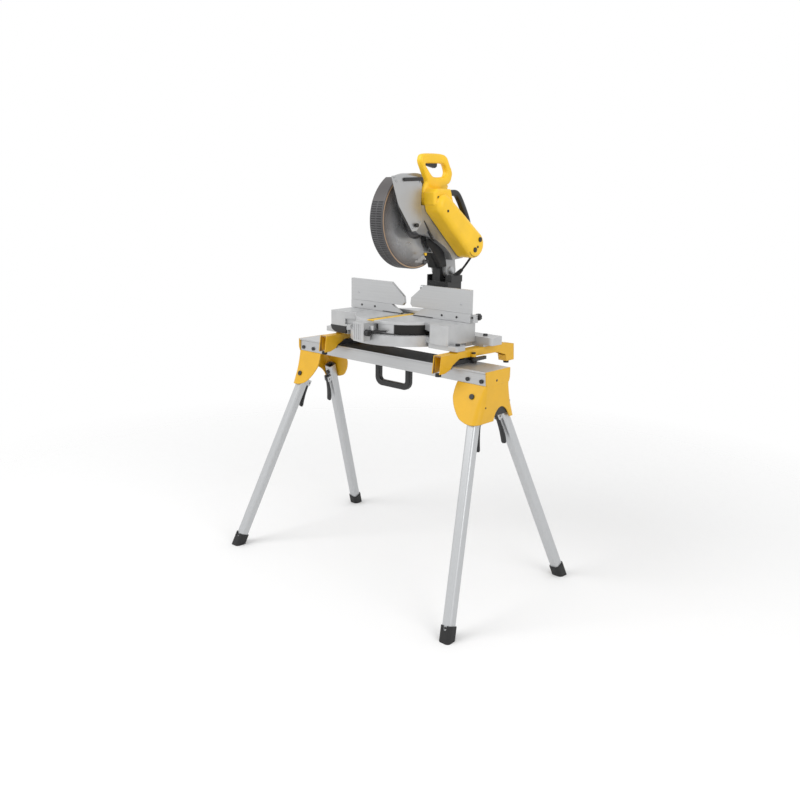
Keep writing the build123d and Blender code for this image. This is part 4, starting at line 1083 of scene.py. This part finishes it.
# motor vents: thin fins bent round the tail's end
ventForm = {"centre": (286.0, 1180.0), "r": 49.0, "xs": [70 + 7.0 * k for k in range(6)], "from": -55.0,
            "to": 60.0, "steps": 22, "wide": 3.4, "thick": 3.2, "round": 1.2, "corner": 3, "start": 0.25}


def makeVents():
    f = ventForm
    a = np.radians(np.linspace(f["from"], f["to"], f["steps"]))
    y, z = f["centre"]
    line = np.column_stack([y + f["r"] * np.cos(a), z + f["r"] * np.sin(a)])
    loop, size = roundBox(f["wide"], f["thick"], f["round"], f["corner"]), thinEnds(f["steps"], f["start"])
    fins = [swept(loop, atX(x, line), toRight, size) for x in f["xs"]]
    addPiece("motorVents", fins, "head", *blackPlastic)


makeVents()
print("trim done")


# stage, lamps and world, in metres
stageForm = {"half": 3.0, "floorTone": 0.93, "fibre": 0.01, "fibreScale": (300.0, 4.0), "floorRough": 0.9,
             "floorGloss": 0.2, "fade": (1.1, 2.7), "worldLight": 0.80, "lampTarget": (0, 0, 0.9),
             "lampSize": 2.2}
lampForms = {"keyLamp": {"place": (-1.4, -2.8, 3.4), "power": 60},
             "fillLamp": {"place": (3.4, -0.8, 2.4), "power": 34}}


# the floor fades into the white world away from the object
def makeFloor():
    f = stageForm
    half, tone, fibre = f["half"], f["floorTone"], f["fibre"]
    mesh = bpy.data.meshes.new("floor")
    corners = [(-half, -half, 0), (half, -half, 0), (half, half, 0), (-half, half, 0)]
    mesh.from_pydata(corners, [], [(0, 1, 2, 3)])
    floor = bpy.data.objects.new("floor", mesh)
    bpy.context.scene.collection.objects.link(floor)
    mat, tree, shader = newFinish("floorPaper", (tone,) * 3, f["floorRough"], specular=f["floorGloss"])
    cloud = noiseAt(objectPoint(tree), *f["fibreScale"])
    paper = ramp(cloud, [(0.3, (tone - fibre,) * 3), (0.7, (tone + fibre,) * 3)])
    link(paper, shader.inputs["Base Color"])
    x, y, _ = axesOf(objectPoint(tree))
    link(falling(awayFrom(x, y), *f["fade"]), shader.inputs["Alpha"])
    mesh.materials.append(mat)


# the world is white to the camera and in gloss and glass, and a little lower as light
def makeWorld():
    world = bpy.data.worlds.new("studio")
    bpy.context.scene.world = world
    world.use_nodes = True
    tree = world.node_tree
    back = tree.nodes["Background"]
    back.inputs["Color"].default_value = (1, 1, 1, 1)
    path = addNode(tree, "ShaderNodeLightPath")
    seen = sums("MAXIMUM", path.outputs["Is Camera Ray"],
                sums("MAXIMUM", path.outputs["Is Glossy Ray"], path.outputs["Is Transmission Ray"]))
    link(span(seen, stageForm["worldLight"], 1.0), back.inputs["Strength"])


def areaLamp(name, place, power):
    lamp = bpy.data.lights.new(name, "AREA")
    lamp.size = stageForm["lampSize"]
    lamp.energy = power
    obj = bpy.data.objects.new(name, lamp)
    obj.location = place
    aim = Vector(stageForm["lampTarget"]) - Vector(place)
    obj.rotation_euler = aim.to_track_quat("-Z", "Y").to_euler()
    bpy.context.scene.collection.objects.link(obj)


makeFloor()
makeWorld()
for name, form in lampForms.items():
    areaLamp(name, form["place"], form["power"])
bpy.context.scene.view_settings.view_transform = "Standard"
print("stage and lamps set")
